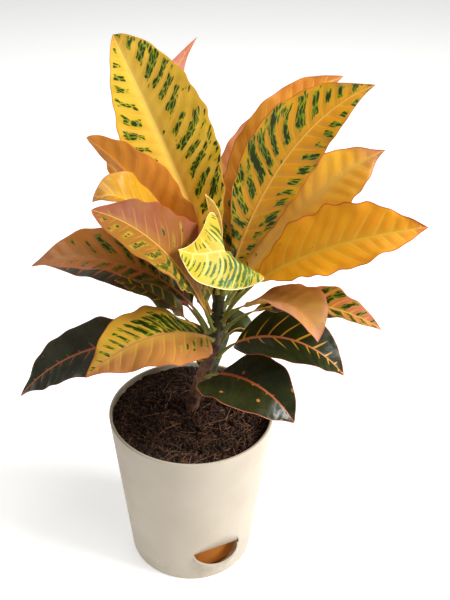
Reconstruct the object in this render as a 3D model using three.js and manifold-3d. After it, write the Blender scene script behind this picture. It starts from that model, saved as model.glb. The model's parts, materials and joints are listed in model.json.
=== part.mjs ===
// Potted croton: a leafy house plant in a tapered self-watering nursery pot.
// Millimetres, +Z up. The origin is the centre of the pot's underside, and the
// filling port looks towards the front (-Y), a little to the right (+X).

import * as THREE from 'three';
import { ConvexGeometry } from 'three/addons/geometries/ConvexGeometry.js';
import { mergeVertices } from 'three/addons/utils/BufferGeometryUtils.js';
import Module from 'manifold-3d';

const wasm = await Module();
wasm.setup();

// ---------------------------------------------------------------- dimensions

const gap = 0.3;                  // clearance between pieces that touch

const potHeight = 132;
const potTopRadius = 62;
const potBaseRadius = 48.5;
const potWall = 2.2;
const potFloor = 2.5;
const footRounding = 1.5;
const rimRounding = 0.8;

const portTurn = 24;              // degrees to the right of the front
const portChordHeight = 28;       // the straight lower edge of the recessed panel
const portRadius = 19.5;          // half the width of recess and scoop
const panelDepth = 6;             // how deep the panel lies at its lower edge
const panelWall = 2;
const scoopLipHeight = 22;        // the lip's middle; its ends reach the chord
const scoopBelly = 6;             // how far below its lip the scoop stays as wide
const scoopReach = 7;             // how far the lip stands out of the wall
const scoopFoot = 9;              // where the scoop's belly runs back into the wall
const scoopWall = 1.5;

const basketRadius = 42.5;
const basketWall = 1.6;
const basketFloor = 8;            // underside of the basket above the pot's underside
const basketTop = 52;
const basketFootRadius = 15;
const slotCount = 10;
const slotWidth = 3;
const slotHeight = 22;

const soilTop = 125.5;            // mean height of the soil's surface
const soilRipple = 1.1;
const stemSocket = 0.4;           // extra radius of the hole that the stem stands in

const leafThickness = 0.9;
const petioleRadius = 1.5;
const petioleTaper = 0.35;        // how much thinner the petiole is where the blade opens
const bladeOpening = 0.12;        // share of the length over which the blade opens
const marginWaves = 3;

const potTurns = 64;              // facets round the pot
const basketTurns = 48;
const leafStations = 16;          // steps from the foot of the petiole to the leaf's tip
const leafRing = 8;               // points round one section of a leaf
const stemRing = 12;

const radians = THREE.MathUtils.degToRad;

// ------------------------------------------------------------------- solids

// A solid for joining and cutting, from any closed geometry.
function solidOf(geometry) {
  const bare = geometry.clone();
  bare.deleteAttribute('normal');
  bare.deleteAttribute('uv');
  const merged = mergeVertices(bare, 1e-4);
  const corner = merged.index.array;
  const kept = [];
  for (let i = 0; i < corner.length; i += 3) {
    const [a, b, c] = [corner[i], corner[i + 1], corner[i + 2]];
    if (a !== b && b !== c && c !== a) kept.push(a, b, c);
  }
  return new wasm.Manifold(new wasm.Mesh({
    numProp: 3,
    vertProperties: new Float32Array(merged.attributes.position.array),
    triVerts: new Uint32Array(kept),
  }));
}

function geometryOf(solid) {
  const mesh = solid.getMesh();
  const geometry = new THREE.BufferGeometry();
  geometry.setAttribute('position', new THREE.BufferAttribute(mesh.vertProperties, 3));
  geometry.setIndex(new THREE.BufferAttribute(mesh.triVerts, 1));
  geometry.computeVertexNormals();
  return geometry;
}

// A turned solid about Z. The profile is a list of [radius, height] from the
// axis at the bottom, round the outside, to the axis at the top.
function turned(profile, turns) {
  const points = profile.map(([radius, height]) => new THREE.Vector2(radius, height));
  const geometry = new THREE.LatheGeometry(points, turns);
  geometry.rotateX(Math.PI / 2);
  return geometry;
}

// One closed skin over a row of rings. Each ring runs clockwise as seen from
// the far end. The skin is closed by a fan at the start and at the end.
function closedSkin(rings, startCentre, endCentre) {
  const count = rings[0].length;
  const points = [...rings.flat(), startCentre, endCentre];
  const start = points.length - 2;
  const end = points.length - 1;
  const index = [];
  for (let i = 0; i < rings.length - 1; i += 1) {
    for (let k = 0; k < count; k += 1) {
      const a = i * count + k;
      const b = i * count + ((k + 1) % count);
      index.push(a, b + count, b, a, a + count, b + count);
    }
  }
  const last = (rings.length - 1) * count;
  for (let k = 0; k < count; k += 1) {
    const next = (k + 1) % count;
    index.push(start, k, next);
    index.push(end, last + next, last + k);
  }
  const geometry = new THREE.BufferGeometry().setFromPoints(points);
  geometry.setIndex(index);
  geometry.computeVertexNormals();
  return geometry;
}

// ---------------------------------------------------------------------- pot

const outerRadius = (z) => potBaseRadius + (potTopRadius - potBaseRadius) * z / potHeight;
const innerRadius = (z) => outerRadius(z) - potWall;

function potOutside() {
  return solidOf(turned([
    [0, 0],
    [potBaseRadius - footRounding, 0],
    [potBaseRadius - footRounding * 0.3, footRounding * 0.3],
    [outerRadius(footRounding), footRounding],
    [outerRadius(potHeight - rimRounding), potHeight - rimRounding],
    [potTopRadius - rimRounding, potHeight],
    [0, potHeight],
  ], potTurns));
}

function potInside() {
  const above = 5;
  return solidOf(turned([
    [0, potFloor],
    [innerRadius(potFloor) - footRounding, potFloor],
    [innerRadius(potFloor + footRounding), potFloor + footRounding],
    [innerRadius(potHeight), potHeight],
    [innerRadius(potHeight), potHeight + above],
    [0, potHeight + above],
  ], potTurns));
}

// The port is drawn on the front, -Y, and turned to its place afterwards:
// a point is given by its place across, how far out it lies, and its height.
const portPoint = (across, out, height) => new THREE.Vector3(across, -out, height);
const panelFoot = outerRadius(portChordHeight) - panelDepth;
const panelRise = outerRadius(portChordHeight + portRadius) - panelFoot;
const panelOut = (rise) => panelFoot + panelRise * rise / portRadius;

// Half a disc, standing on the chord, between two slanting faces.
function halfDisc(radius, backOffset, frontOffset, frontFlat) {
  const points = [];
  const steps = 20;
  for (let i = 0; i <= steps; i += 1) {
    const angle = Math.PI * i / steps;
    const rise = radius * Math.sin(angle);
    const across = radius * Math.cos(angle);
    const height = portChordHeight + rise;
    points.push(portPoint(across, panelOut(rise) + backOffset, height));
    points.push(portPoint(across, frontFlat ?? panelOut(rise) + frontOffset, height));
  }
  return solidOf(new ConvexGeometry(points));
}

// The scoop's body: a half-round lip in front of the wall, which slopes down
// from the ends of the chord to its middle, and a belly that runs back into
// the wall below. Its hollow is the same shape, smaller by the wall.
function scoopBody(inset, inward, flatTop) {
  const points = [];
  const steps = 16;
  const half = portRadius - inset;
  for (let i = 0; i <= steps; i += 1) {
    const angle = Math.PI * i / steps;
    const across = half * Math.cos(angle);
    const bulge = (scoopReach - inset) * Math.sin(angle);
    const wallAt = Math.sqrt(outerRadius(scoopLipHeight) ** 2 - across ** 2);
    const lip = portChordHeight - (portChordHeight - scoopLipHeight) * Math.sin(angle);
    const belly = lip - scoopBelly * Math.sin(angle);
    const foot = portChordHeight - (portChordHeight - scoopFoot - inset) * Math.sin(angle);
    const top = flatTop ?? lip;
    points.push(portPoint(across, wallAt + bulge, top));
    points.push(portPoint(across, wallAt + bulge * 0.92, belly));
    points.push(portPoint(across * 0.94, wallAt - inward, foot));
    points.push(portPoint(across, wallAt - inward, top));
  }
  return solidOf(new ConvexGeometry(points));
}

function potGeometry() {
  const outside = potOutside();
  const shell = outside.subtract(potInside());
  const panelMargin = 2;
  const panel = halfDisc(portRadius + panelMargin, -panelWall, panelWall).intersect(outside);
  const beyondWall = 70;
  const recess = halfDisc(portRadius, 0, 0, beyondWall);
  const scoop = scoopBody(0, 2);
  const hollow = scoopBody(scoopWall, 7, portChordHeight);
  const pot = shell.add(panel).subtract(recess).add(scoop).subtract(hollow);
  const geometry = geometryOf(pot);
  geometry.rotateZ(radians(portTurn));
  return geometry;
}

// ----------------------------------------------------- basket, soil and stem

// The slotted basket holds the soil above the water. Its foot stands on the
// pot's floor and its flange reaches the pot's wall.
function basketGeometry() {
  const footWall = basketFootRadius - basketWall;
  const flangeRadius = innerRadius(basketTop) - 2 * gap;
  const body = solidOf(turned([
    [0, potFloor + gap],
    [basketFootRadius, potFloor + gap],
    [basketFootRadius, basketFloor],
    [basketRadius, basketFloor],
    [basketRadius, basketTop - basketWall],
    [flangeRadius, basketTop - basketWall],
    [flangeRadius, basketTop],
    [basketRadius - basketWall, basketTop],
    [basketRadius - basketWall, basketFloor + basketWall],
    [footWall, basketFloor + basketWall],
    [footWall, potFloor + gap + basketWall],
    [0, potFloor + gap + basketWall],
  ], basketTurns));
  let basket = body;
  // the two places beside the port stay closed
  for (let i = 1; i < slotCount - 1; i += 1) {
    const slot = new THREE.BoxGeometry(slotWidth, basketWall * 4, slotHeight);
    const lowest = basketFloor + 8;
    slot.translate(0, -basketRadius, lowest + slotHeight / 2);
    slot.rotateZ(radians(portTurn) + 2 * Math.PI * (i + 0.5) / slotCount);
    basket = basket.subtract(solidOf(slot));
  }
  return geometryOf(basket);
}

// The soil's surface rises and falls a little, in low round heaps.
const soilHeight = (x, y) => soilTop + soilRipple
  * (Math.sin(x / 9 + 1) * Math.cos(y / 11) + 0.5 * Math.sin(x / 5 - y / 6));

function soilGeometry() {
  const inside = basketRadius - basketWall - gap;
  const foot = basketFootRadius - basketWall - gap;
  const edge = innerRadius(soilTop) - gap - 0.4;
  const low = basketTop + gap;
  const geometry = turned([
    [0, potFloor + basketWall + 2 * gap],
    [foot, potFloor + basketWall + 2 * gap],
    [foot, basketFloor + basketWall + gap],
    [inside, basketFloor + basketWall + gap],
    [inside, low],
    [innerRadius(low) - gap - 0.4, low],
    [edge, soilTop],
    [edge * 0.84, soilTop],
    [edge * 0.67, soilTop],
    [edge * 0.5, soilTop],
    [edge * 0.33, soilTop],
    [edge * 0.16, soilTop],
    [0, soilTop],
  ], basketTurns);
  const place = geometry.attributes.position;
  for (let i = 0; i < place.count; i += 1) {
    const [x, y, z] = [place.getX(i), place.getY(i), place.getZ(i)];
    if (Math.abs(z - soilTop) < 0.01) place.setZ(i, soilHeight(x, y));
  }
  return geometryOf(solidOf(geometry).subtract(solidOf(stemSkin(stemSocket))));
}

// The stem's middle line, from inside the root ball to the growing tip.
const stemLine = [
  [1, 7, 92], [0, 8, 127], [4, 8, 143], [9, 9, 160], [16, 10, 180], [18, 10, 193], [20, 10, 233],
];
const stemThickness = [[92, 4.5], [127, 5.2], [233, 4]];   // height, radius
const budHeight = 2.5;            // the growing tip's cone on top of the stem

// Straight-line reading of a table of [height, value...] rows.
function between(rows, height, key, value) {
  let i = 0;
  while (i < rows.length - 2 && height > rows[i + 1][key]) i += 1;
  const share = (height - rows[i][key]) / (rows[i + 1][key] - rows[i][key]);
  return rows[i][value] + (rows[i + 1][value] - rows[i][value]) * share;
}

const stemCentre = (z) => new THREE.Vector3(
  between(stemLine, z, 2, 0), between(stemLine, z, 2, 1), z);
const stemRadius = (z) => between(stemThickness, z, 0, 1);

// The stem's skin, or, with some extra radius, the socket for it.
function stemSkin(extra) {
  const rings = [];
  const heights = stemLine.map((row) => row[2]);
  const foot = stemCentre(heights[0]);
  foot.z -= extra;
  for (const height of heights) {
    const centre = height === heights[0] ? foot : stemCentre(height);
    const radius = stemRadius(height) + extra;
    const ring = [];
    for (let k = 0; k < stemRing; k += 1) {
      const angle = -2 * Math.PI * k / stemRing;
      ring.push(new THREE.Vector3(Math.cos(angle), Math.sin(angle), 0)
        .multiplyScalar(radius).add(centre));
    }
    rings.push(ring);
  }
  const bud = stemCentre(heights.at(-1));
  bud.z += budHeight;
  return closedSkin(rings, foot, bud);
}

// ------------------------------------------------------------------- leaves

// A leaf is one sweep along its midrib: a round petiole that opens into a thin
// blade. `node` is the height on the stem where it grows, `lift` and `arch` are
// the points that pull the midrib's curve, and `tip` is where it ends, all in
// millimetres. `petiole` is the petiole's share of the whole length. Values in
// pairs are for the left and the right half, looking from the stem to the tip:
// `half` is a half's width, `peak` where along the blade it is widest, `full`
// how blunt its outline is (lower is blunter), `fold` how many degrees it rises
// from the midrib, `curl` how much more at the margin, and `fan` how far its
// ribs lean back to the stem, at the blade's foot and at its tip. `roll` turns
// the blade about its midrib, at the foot and at the tip. `wave` is the height
// of the ripples in the margin.
const plainLeaf = {
  petiole: 0.2, half: [22, 22], peak: [0.5, 0.5], full: [0.85, 0.85], fold: [18, 18],
  curl: [10, 10], roll: [0, 0], wave: 1.2, fan: [[0, 0], [0, 0]],
};

const leaves = [
  { name: 'top_left', node: 229, lift: [15, 10, 267], arch: [-22, 31, 343], tip: [-48, 22, 405],
    petiole: 0.16, half: [28, 35], peak: [0.5, 0.6], full: [0.78, 0.62], fold: [14, 14],
    curl: [0, 0], roll: [75, 70], fan: [[0, 0], [0, -6]] },
  { name: 'back_top', node: 227, lift: [12, 30, 262], arch: [-50, 70, 328], tip: [4, 84, 388],
    petiole: 0.16, half: [17, 12], fold: [14, 14], curl: [0, 0], roll: [0, -10] },
  { name: 'left_upper', node: 214, lift: [-1, 3, 262], arch: [-24, -10, 321], tip: [-66, 4, 346],
    half: [21, 14], full: [0.65, 0.6], roll: [-60, -70] },
  { name: 'left_mid', node: 201, lift: [6, -14, 240], arch: [-13, -58, 313], tip: [-58, -58, 325],
    petiole: 0.18, half: [37, 29], peak: [0.7, 0.4], full: [0.7, 0.8], roll: [60, 40] },
  { name: 'left_mid_behind', node: 207, lift: [0, -5, 250], arch: [-33, -33, 343],
    tip: [-60, -34, 319], half: [12, 21], peak: [0.6, 0.6], roll: [10, 25] },
  { name: 'left_long', node: 197, lift: [-2, 0, 242], arch: [-50, -12, 284], tip: [-103, -28, 271],
    half: [22, 24], roll: [25, 20] },
  { name: 'left_under', node: 192, lift: [-6, 19, 230], arch: [-50, 17, 257], tip: [-108, 10, 252],
    roll: [30, 30] },
  { name: 'left_green', node: 183, lift: [-4, 8, 217], arch: [-28, -3, 241], tip: [-52, -9, 250],
    petiole: 0.3, half: [16, 16], roll: [30, 20] },
  { name: 'left_front', node: 192, lift: [4, -14, 214], arch: [-30, -42, 238], tip: [-69, -60, 206],
    petiole: 0.1, half: [29, 24], peak: [0.42, 0.55], fold: [-15, 18], roll: [0, 10] },
  { name: 'left_dark_low', node: 172, lift: [-24, 4, 200], arch: [-88, 6, 196], tip: [-128, 0, 144],
    petiole: 0.22, half: [25, 23], fold: [-5, 18], roll: [10, 10] },
  { name: 'right_top', node: 229, lift: [30, 12, 264], arch: [56, 20, 350], tip: [116, 22, 374],
    petiole: 0.14, half: [28, 20], peak: [0.6, 0.5], full: [0.95, 0.85],
    fold: [18, -22], roll: [-60, -60] },
  { name: 'right_top_behind', node: 225, lift: [34, 25, 266], arch: [44, 52, 350],
    tip: [103, 64, 367], petiole: 0.16, half: [24, 24], roll: [-40, -50] },
  { name: 'back_centre', node: 218, lift: [26, 34, 262], arch: [34, 70, 308], tip: [66, 90, 346],
    petiole: 0.16, half: [20, 20] },
  { name: 'right_upper', node: 220, lift: [44, 11, 250], arch: [83, 15, 315], tip: [126, 16, 333],
    petiole: 0.16, half: [25, 29], roll: [-45, -50] },
  { name: 'right_low_big', node: 212, lift: [45, -3, 259], arch: [96, -27, 292],
    tip: [147, -32, 301], petiole: 0.24, half: [27, 28], peak: [0.5, 0.56], roll: [-35, -35] },
  { name: 'young_folded', node: 231, lift: [36, -28, 306], arch: [14, -10, 260], tip: [-8, -42, 291],
    petiole: 0.46, half: [36, 25], peak: [0.3, 0.15], full: [0.55, 1], fold: [-28, 50],
    roll: [-25, 40], wave: 0.4, fan: [[70, 12], [-15, -15]] },
  { name: 'young_rolled', node: 232, lift: [18, 2, 256], arch: [14, 0, 292], tip: [9, -8, 313],
    petiole: 0.3, half: [7, 7], fold: [50, 50], wave: 0.2 },
  { name: 'right_folded', node: 208, lift: [36, -8, 238], arch: [74, -38, 262], tip: [81, -54, 230],
    petiole: 0.22, half: [20, 18], peak: [0.6, 0.6] },
  { name: 'right_spotted', node: 198, lift: [44, 2, 230], arch: [92, -16, 244],
    tip: [128, -28, 222], petiole: 0.25, half: [15, 15], roll: [-10, -20] },
  { name: 'right_back_green', node: 205, lift: [40, 22, 240], arch: [80, 40, 262],
    tip: [118, 52, 236], petiole: 0.25, half: [18, 18], roll: [-30, -30] },
  { name: 'right_green_big', node: 176, lift: [34, 0, 204], arch: [78, -14, 218],
    tip: [108, -20, 178], half: [24, 32], peak: [0.5, 0.42], roll: [-10, -20] },
  { name: 'right_low_dark', node: 160, lift: [20, -12, 178], arch: [50, -40, 194],
    tip: [71, -50, 160], petiole: 0.24, half: [22, 34], peak: [0.5, 0.3], full: [0.85, 0.72],
    roll: [-10, -30] },
  { name: 'right_hidden_green', node: 183, lift: [28, 18, 190], arch: [44, 30, 204],
    tip: [48, 20, 160], petiole: 0.22, half: [18, 17] },
  { name: 'back_hanging', node: 180, lift: [14, 36, 194], arch: [14, 52, 174], tip: [14, 26, 138],
    half: [19, 19] },
  { name: 'back_left', node: 212, lift: [12, 44, 246], arch: [-22, 92, 300], tip: [-60, 116, 268] },
  { name: 'back_right', node: 209, lift: [40, 36, 248], arch: [66, 84, 306], tip: [96, 122, 276],
    half: [23, 23] },
  { name: 'back_mid', node: 200, lift: [16, 40, 232], arch: [14, 96, 280], tip: [8, 150, 244],
    half: [23, 23] },
  { name: 'left_back', node: 206, lift: [-8, 26, 241], arch: [-46, 42, 304], tip: [-60, 54, 312] },
  { name: 'back_left_low', node: 190, lift: [-4, 32, 216], arch: [-38, 76, 246],
    tip: [-78, 104, 206] },
  { name: 'back_right_low', node: 188, lift: [30, 36, 218], arch: [62, 76, 250],
    tip: [96, 112, 214] },
];

function midribOf(leaf) {
  const lift = new THREE.Vector3(...leaf.lift);
  const stem = stemCentre(leaf.node);
  const outward = lift.clone().sub(stem);
  const rise = Math.atan2(outward.z, Math.hypot(outward.x, outward.y));
  outward.setZ(0).normalize();
  const clear = stemRadius(leaf.node) + 1.8 * gap + petioleRadius * Math.sin(Math.max(rise, 0));
  const foot = outward.multiplyScalar(clear).add(stem);
  return new THREE.CubicBezierCurve3(
    foot, lift, new THREE.Vector3(...leaf.arch), new THREE.Vector3(...leaf.tip));
}

function leafGeometry(leaf) {
  const midrib = midribOf(leaf);
  const { v0: foot, v3: tip } = midrib;
  const level = new THREE.Vector3(tip.x - foot.x, tip.y - foot.y, 0).normalize();
  const levelSide = new THREE.Vector3().crossVectors(level, new THREE.Vector3(0, 0, 1));
  const rings = [];
  for (let i = 0; i < leafStations; i += 1) {
    const u = i / leafStations;
    const centre = midrib.getPoint(u);
    const along = midrib.getTangent(u);
    const flatSide = levelSide.clone().addScaledVector(along, -levelSide.dot(along)).normalize();
    const flatNormal = new THREE.Vector3().crossVectors(flatSide, along);
    const roll = radians(THREE.MathUtils.lerp(leaf.roll[0], leaf.roll[1], u));
    const side = flatSide.multiplyScalar(Math.cos(roll)).addScaledVector(flatNormal, Math.sin(roll));
    const normal = new THREE.Vector3().crossVectors(side, along);
    const blade = Math.max((u - leaf.petiole) / (1 - leaf.petiole), 0);
    const opening = leaf.petiole * 0.75;
    const opened = THREE.MathUtils.smoothstep(u, opening, opening + bladeOpening);
    const stalk = petioleRadius * (1 - petioleTaper * Math.min(1, u / leaf.petiole));
    const ring = [];
    for (let k = 0; k < leafRing; k += 1) {
      const angle = 2 * Math.PI * k / leafRing;
      const share = Math.abs(Math.cos(angle));
      const hand = Math.cos(angle) > 0 ? 1 : 0;
      const outwardSign = hand ? 1 : -1;
      const climb = Math.log(0.5) / Math.log(leaf.peak[hand]);
      const reach = leaf.half[hand] * Math.sin(Math.PI * blade ** climb) ** leaf.full[hand] * share;
      const slope = radians(leaf.fold[hand] + leaf.curl[hand] * share / 2);
      const ripple = leaf.wave * Math.sin(2 * Math.PI * marginWaves * blade + (hand ? 0 : 1.9))
        * share ** 2 * Math.min(1, reach / 8);
      const lean = radians(THREE.MathUtils.lerp(leaf.fan[hand][0], leaf.fan[hand][1], blade));
      const skin = leafThickness / 2 * Math.sign(Math.sin(angle) + 1e-9)
        * Math.min(1, 2 * Math.abs(Math.sin(angle)));
      const flat = new THREE.Vector3()
        .addScaledVector(side, outwardSign * reach * Math.cos(slope) * Math.cos(lean))
        .addScaledVector(along, -reach * Math.cos(slope) * Math.sin(lean))
        .addScaledVector(normal, reach * Math.sin(slope) + ripple + skin);
      const round = new THREE.Vector3()
        .addScaledVector(side, stalk * Math.cos(angle))
        .addScaledVector(normal, stalk * Math.sin(angle));
      ring.push(round.lerp(flat, opened).add(centre));
    }
    rings.push(ring);
  }
  return closedSkin(rings, foot, tip);
}

// ----------------------------------------------------------------- assembly

const ivoryPlastic = { color: 0xe9e0cf, roughness: 0.5, metalness: 0 };
const amberPlastic = { color: 0x9a5c1e, roughness: 0.5, metalness: 0 };
const coirSoil = { color: 0x2a1810, roughness: 0.95, metalness: 0 };
const bark = { color: 0x5a4234, roughness: 0.85, metalness: 0 };
const goldLeaf = { color: 0xdd9a1e, roughness: 0.4, metalness: 0 };
const darkLeaf = { color: 0x2f3418, roughness: 0.4, metalness: 0 };
const darkOnes = new Set([
  'left_under', 'left_green', 'left_dark_low', 'right_back_green', 'right_green_big',
  'right_low_dark', 'right_hidden_green', 'back_hanging', 'back_left_low', 'back_right_low',
]);

const croton = new THREE.Group();

function addPiece(name, geometry, finish) {
  const mesh = new THREE.Mesh(geometry, new THREE.MeshStandardMaterial(finish));
  mesh.name = name;
  croton.add(mesh);
}

addPiece('pot', potGeometry(), ivoryPlastic);
addPiece('soil_basket', basketGeometry(), amberPlastic);
addPiece('soil', soilGeometry(), coirSoil);
addPiece('stem', stemSkin(0), bark);
for (const leaf of leaves) {
  const finish = darkOnes.has(leaf.name) ? darkLeaf : goldLeaf;
  addPiece(`leaf_${leaf.name}`, leafGeometry({ ...plainLeaf, ...leaf }), finish);
}

export default croton;
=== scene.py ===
# %% [markdown]
# # A potted croton
# A croton is a house plant with thick, glossy leaves in yellow, orange, pink and
# dark green. This one stands in an ivory nursery pot with a watering port at its
# foot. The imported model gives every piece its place, and this lesson builds the
# fine pieces and the finishes around it. All lengths are millimetres until a mesh
# is made, because leaves, fibres and walls are easier to think of in millimetres.

import json
import math

import bmesh
import bpy
import numpy as np
from mathutils import Euler, Matrix, Vector, noise


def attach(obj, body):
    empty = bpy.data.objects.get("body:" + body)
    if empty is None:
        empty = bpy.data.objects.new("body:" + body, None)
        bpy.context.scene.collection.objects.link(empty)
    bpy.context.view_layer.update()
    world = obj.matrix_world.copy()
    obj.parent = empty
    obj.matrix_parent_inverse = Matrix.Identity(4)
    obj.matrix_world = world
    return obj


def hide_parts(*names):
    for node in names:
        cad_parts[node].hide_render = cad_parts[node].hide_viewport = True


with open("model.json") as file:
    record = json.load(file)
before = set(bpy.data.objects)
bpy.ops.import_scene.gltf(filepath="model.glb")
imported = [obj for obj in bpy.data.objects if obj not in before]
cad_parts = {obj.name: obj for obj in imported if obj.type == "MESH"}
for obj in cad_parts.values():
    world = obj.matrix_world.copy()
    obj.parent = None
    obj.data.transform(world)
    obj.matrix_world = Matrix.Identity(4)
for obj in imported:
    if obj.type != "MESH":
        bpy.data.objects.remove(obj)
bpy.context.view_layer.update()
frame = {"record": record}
MM = 0.001

# %% [markdown]
# ## Helpers for meshes, colours and shader nodes
# A maker writes colours as sRGB hex values, as on a paint card, while a shader wants
# linear light, so one function turns one into the other. A second one makes a mesh
# object from points in millimetres, and a third adds one shader node with its
# settings and its links, which keeps each material's recipe short to read. Blending
# two colours and grading a value are needed so often that they get a word each.

# %% Colours
def paint(hex_colour):
    """Linear RGBA of an sRGB hex colour."""
    channels = [int(hex_colour[i:i + 2], 16) / 255 for i in (1, 3, 5)]
    linear = [c / 12.92 if c <= 0.04045 else ((c + 0.055) / 1.055) ** 2.4 for c in channels]
    return (*linear, 1.0)


print("ivory is", [round(c, 3) for c in paint("#ece3d2")])


# %% Numbers and directions
def smooth_step(value, low, high):
    """0 below low, 1 above high, and a smooth rise between them."""
    share = np.clip((value - low) / (high - low), 0, 1)
    return share * share * (3 - 2 * share)


def unit(vectors):
    """Each vector at length 1."""
    return vectors / np.linalg.norm(vectors, axis=-1, keepdims=True)


print("halfway up a smooth step:", smooth_step(0.5, 0, 1))


# %% Meshes
def make_mesh(name, points, faces, smooth=True):
    """A mesh object from points in mm and faces of point numbers."""
    mesh = bpy.data.meshes.new(name)
    mesh.from_pydata((np.asarray(points, float) * MM).tolist(), [], faces)
    mesh.polygons.foreach_set("use_smooth", [smooth] * len(mesh.polygons))
    mesh.update()
    piece = bpy.data.objects.new(name, mesh)
    bpy.context.scene.collection.objects.link(piece)
    return piece


def tube_faces(rings, around, closed_ends=True):
    """Quads of a tube of rings with `around` points each, and an end face on each end."""
    faces = []
    for i in range(rings - 1):
        for k in range(around):
            a, b = i * around + k, i * around + (k + 1) % around
            faces.append((a, b, b + around, a + around))
    if closed_ends:
        faces.append(tuple(range(around))[::-1])
        faces.append(tuple(range((rings - 1) * around, rings * around)))
    return faces


def settle(piece, slot, *nodes):
    """The piece rides on the plant's one body and stands for its nodes. `slot` is not used."""
    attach(piece, "root")
    if nodes:
        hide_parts(*nodes)
    return piece


# %% Shader nodes
def node(tree, kind, inputs=None, output=0, **settings):
    """Adds a shader node and returns an output of it, or several for a list of them.

    `inputs` gives a socket's name or number a value or the output that feeds it.
    """
    made = tree.nodes.new("ShaderNode" + kind)
    for name, value in settings.items():
        setattr(made, name, value)
    for socket, value in (inputs or {}).items():
        if isinstance(value, bpy.types.NodeSocket):
            tree.links.new(value, made.inputs[socket])
        else:
            made.inputs[socket].default_value = value
    if isinstance(output, list):
        return [made.outputs[o] for o in output]
    return made.outputs[output] if made.outputs else made


def blend(tree, share, under, over):
    """A colour that goes from `under` to `over` as the share goes from 0 to 1."""
    return node(tree, "Mix", {0: share, 6: under, 7: over}, 2, data_type="RGBA")


def graded(tree, value, low, high, at_low=0.0, at_high=1.0, kind="LINEAR"):
    """Maps low to high onto at_low to at_high, and stays level beyond both."""
    return node(tree, "MapRange", {"Value": value, "From Min": low, "From Max": high,
                                   "To Min": at_low, "To Max": at_high},
                interpolation_type=kind)


def new_material(name):
    """A material with an empty node tree, and that tree."""
    material = bpy.data.materials.new(name)
    material.use_nodes = True
    material.node_tree.nodes.clear()
    return material, material.node_tree


print("helpers are ready")

# %% [markdown]
# ## Camera, floor and soft light
# The photograph looks down on the plant at about 31 degrees, with the plant a little
# left of the lens axis, so the camera has a small sideways shift. The plant stands on
# a plain pale floor that glows a little, like the lit white table of a photo studio, so
# that the ground looks white and some light reaches the leaves from below. Large, weak
# lamps give the rest of the soft light. The main one is high on the right, because the
# pot is brightest there and its left side falls into shade. Camera and lamps have their
# places in metres.

# %% Camera
CAMERA_PLACE = (0.0, -0.500, 0.534)
CAMERA_PITCH = 31.4               # degrees below the horizon
CAMERA_LENS = 50.46
CAMERA_SHIFT = 0.0562             # share of the picture's long side

camera = bpy.data.objects.new("camera", bpy.data.cameras.new("camera"))
camera.location = CAMERA_PLACE
camera.rotation_euler = (math.radians(90 - CAMERA_PITCH), 0, 0)
camera.data.lens = CAMERA_LENS
camera.data.sensor_width = 36
camera.data.shift_x = CAMERA_SHIFT
camera.data.clip_start = 0.01
bpy.context.scene.collection.objects.link(camera)
bpy.context.scene.camera = camera
print("camera", CAMERA_PLACE, "lens", CAMERA_LENS)

# %% Floor and lamps
FLOOR_REACH = 4000                # mm from the middle to each edge

corners = [(x * FLOOR_REACH, y * FLOOR_REACH, 0) for x, y in ((-1, -1), (1, -1), (1, 1), (-1, 1))]
floor = make_mesh("floor", corners, [(0, 1, 2, 3)])
floor_paint, tree = new_material("pale floor")
surface = node(tree, "BsdfPrincipled", {
    "Base Color": paint("#f7f6f3"), "Roughness": 0.9,
    "Emission Color": paint("#ffffff"), "Emission Strength": 0.5})
node(tree, "OutputMaterial", {"Surface": surface})
floor.data.materials.append(floor_paint)


def lamp(name, place, size, power):
    """A square area lamp that looks at the middle of the plant."""
    light = bpy.data.lights.new(name, "AREA")
    light.size, light.energy = size, power
    made = bpy.data.objects.new(name, light)
    made.location = place
    aim = Vector((0, 0, 0.22)) - Vector(place)
    made.rotation_euler = aim.to_track_quat("-Z", "Y").to_euler()
    bpy.context.scene.collection.objects.link(made)


lamp("main", (1.35, -0.4, 1.0), 0.7, 30)
lamp("top", (0.3, -0.2, 1.7), 0.9, 13)
lamp("back", (-0.3, 1.2, 1.4), 1.0, 5)

sky = bpy.data.worlds.new("soft room")
sky.use_nodes = True
sky.node_tree.nodes["Background"].inputs["Color"].default_value = paint("#f4f6f8")
sky.node_tree.nodes["Background"].inputs["Strength"].default_value = 0.16
bpy.context.scene.world = sky
bpy.context.scene.view_settings.view_transform = "Standard"
print("three lamps and a pale room")

# %% [markdown]
# ## The pot
# The pot is injection-moulded polypropylene: a tapered wall about 2 mm thick with a
# rounded rim and foot. Low on the front-right is the watering port, a half-round
# recess whose slanting panel leads into a half-cup scoop. The wall could be a lathe
# with a dented side, but a dent leaves ragged edges where the panel meets the round
# wall. Turned and hulled solids that are joined and cut, as a mould maker would do,
# give clean edges, and a small bevel rounds them as the mould does. The scoop's lip
# slopes from both ends of the panel's straight edge down to its middle. Where tools
# meet, one reaches a hair past the other, because a cut fails on faces in one plane.

# %% Pot sizes
POT_HEIGHT = 132
POT_TOP_RADIUS = 62
POT_BASE_RADIUS = 48.5
POT_WALL = 2.2
POT_FLOOR = 2.5
FOOT_ROUNDING = 1.5
RIM_ROUNDING = 1.0
POT_TURNS = 192                   # steps round the pot
PORT_TURN = 24                    # degrees to the right of the front
PORT_CHORD = 28                   # height of the panel's straight lower edge
PORT_RADIUS = 19.5
PANEL_DEPTH = 6
PANEL_WALL = 2
LIP_HEIGHT = 22                   # the lip's middle
LIP_ENDS = PORT_CHORD - 0.15      # a hair below the chord, so that no two faces coincide
SCOOP_BELLY = 6                   # how far below its lip the scoop stays as wide
SCOOP_REACH = 7
SCOOP_FOOT = 9
SCOOP_WALL = 1.5


def outer_radius(height):
    """Radius of the pot's outer wall at a height."""
    return POT_BASE_RADIUS + (POT_TOP_RADIUS - POT_BASE_RADIUS) * height / POT_HEIGHT


def inner_radius(height):
    """Radius of the pot's inner wall at a height."""
    return outer_radius(height) - POT_WALL


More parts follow.
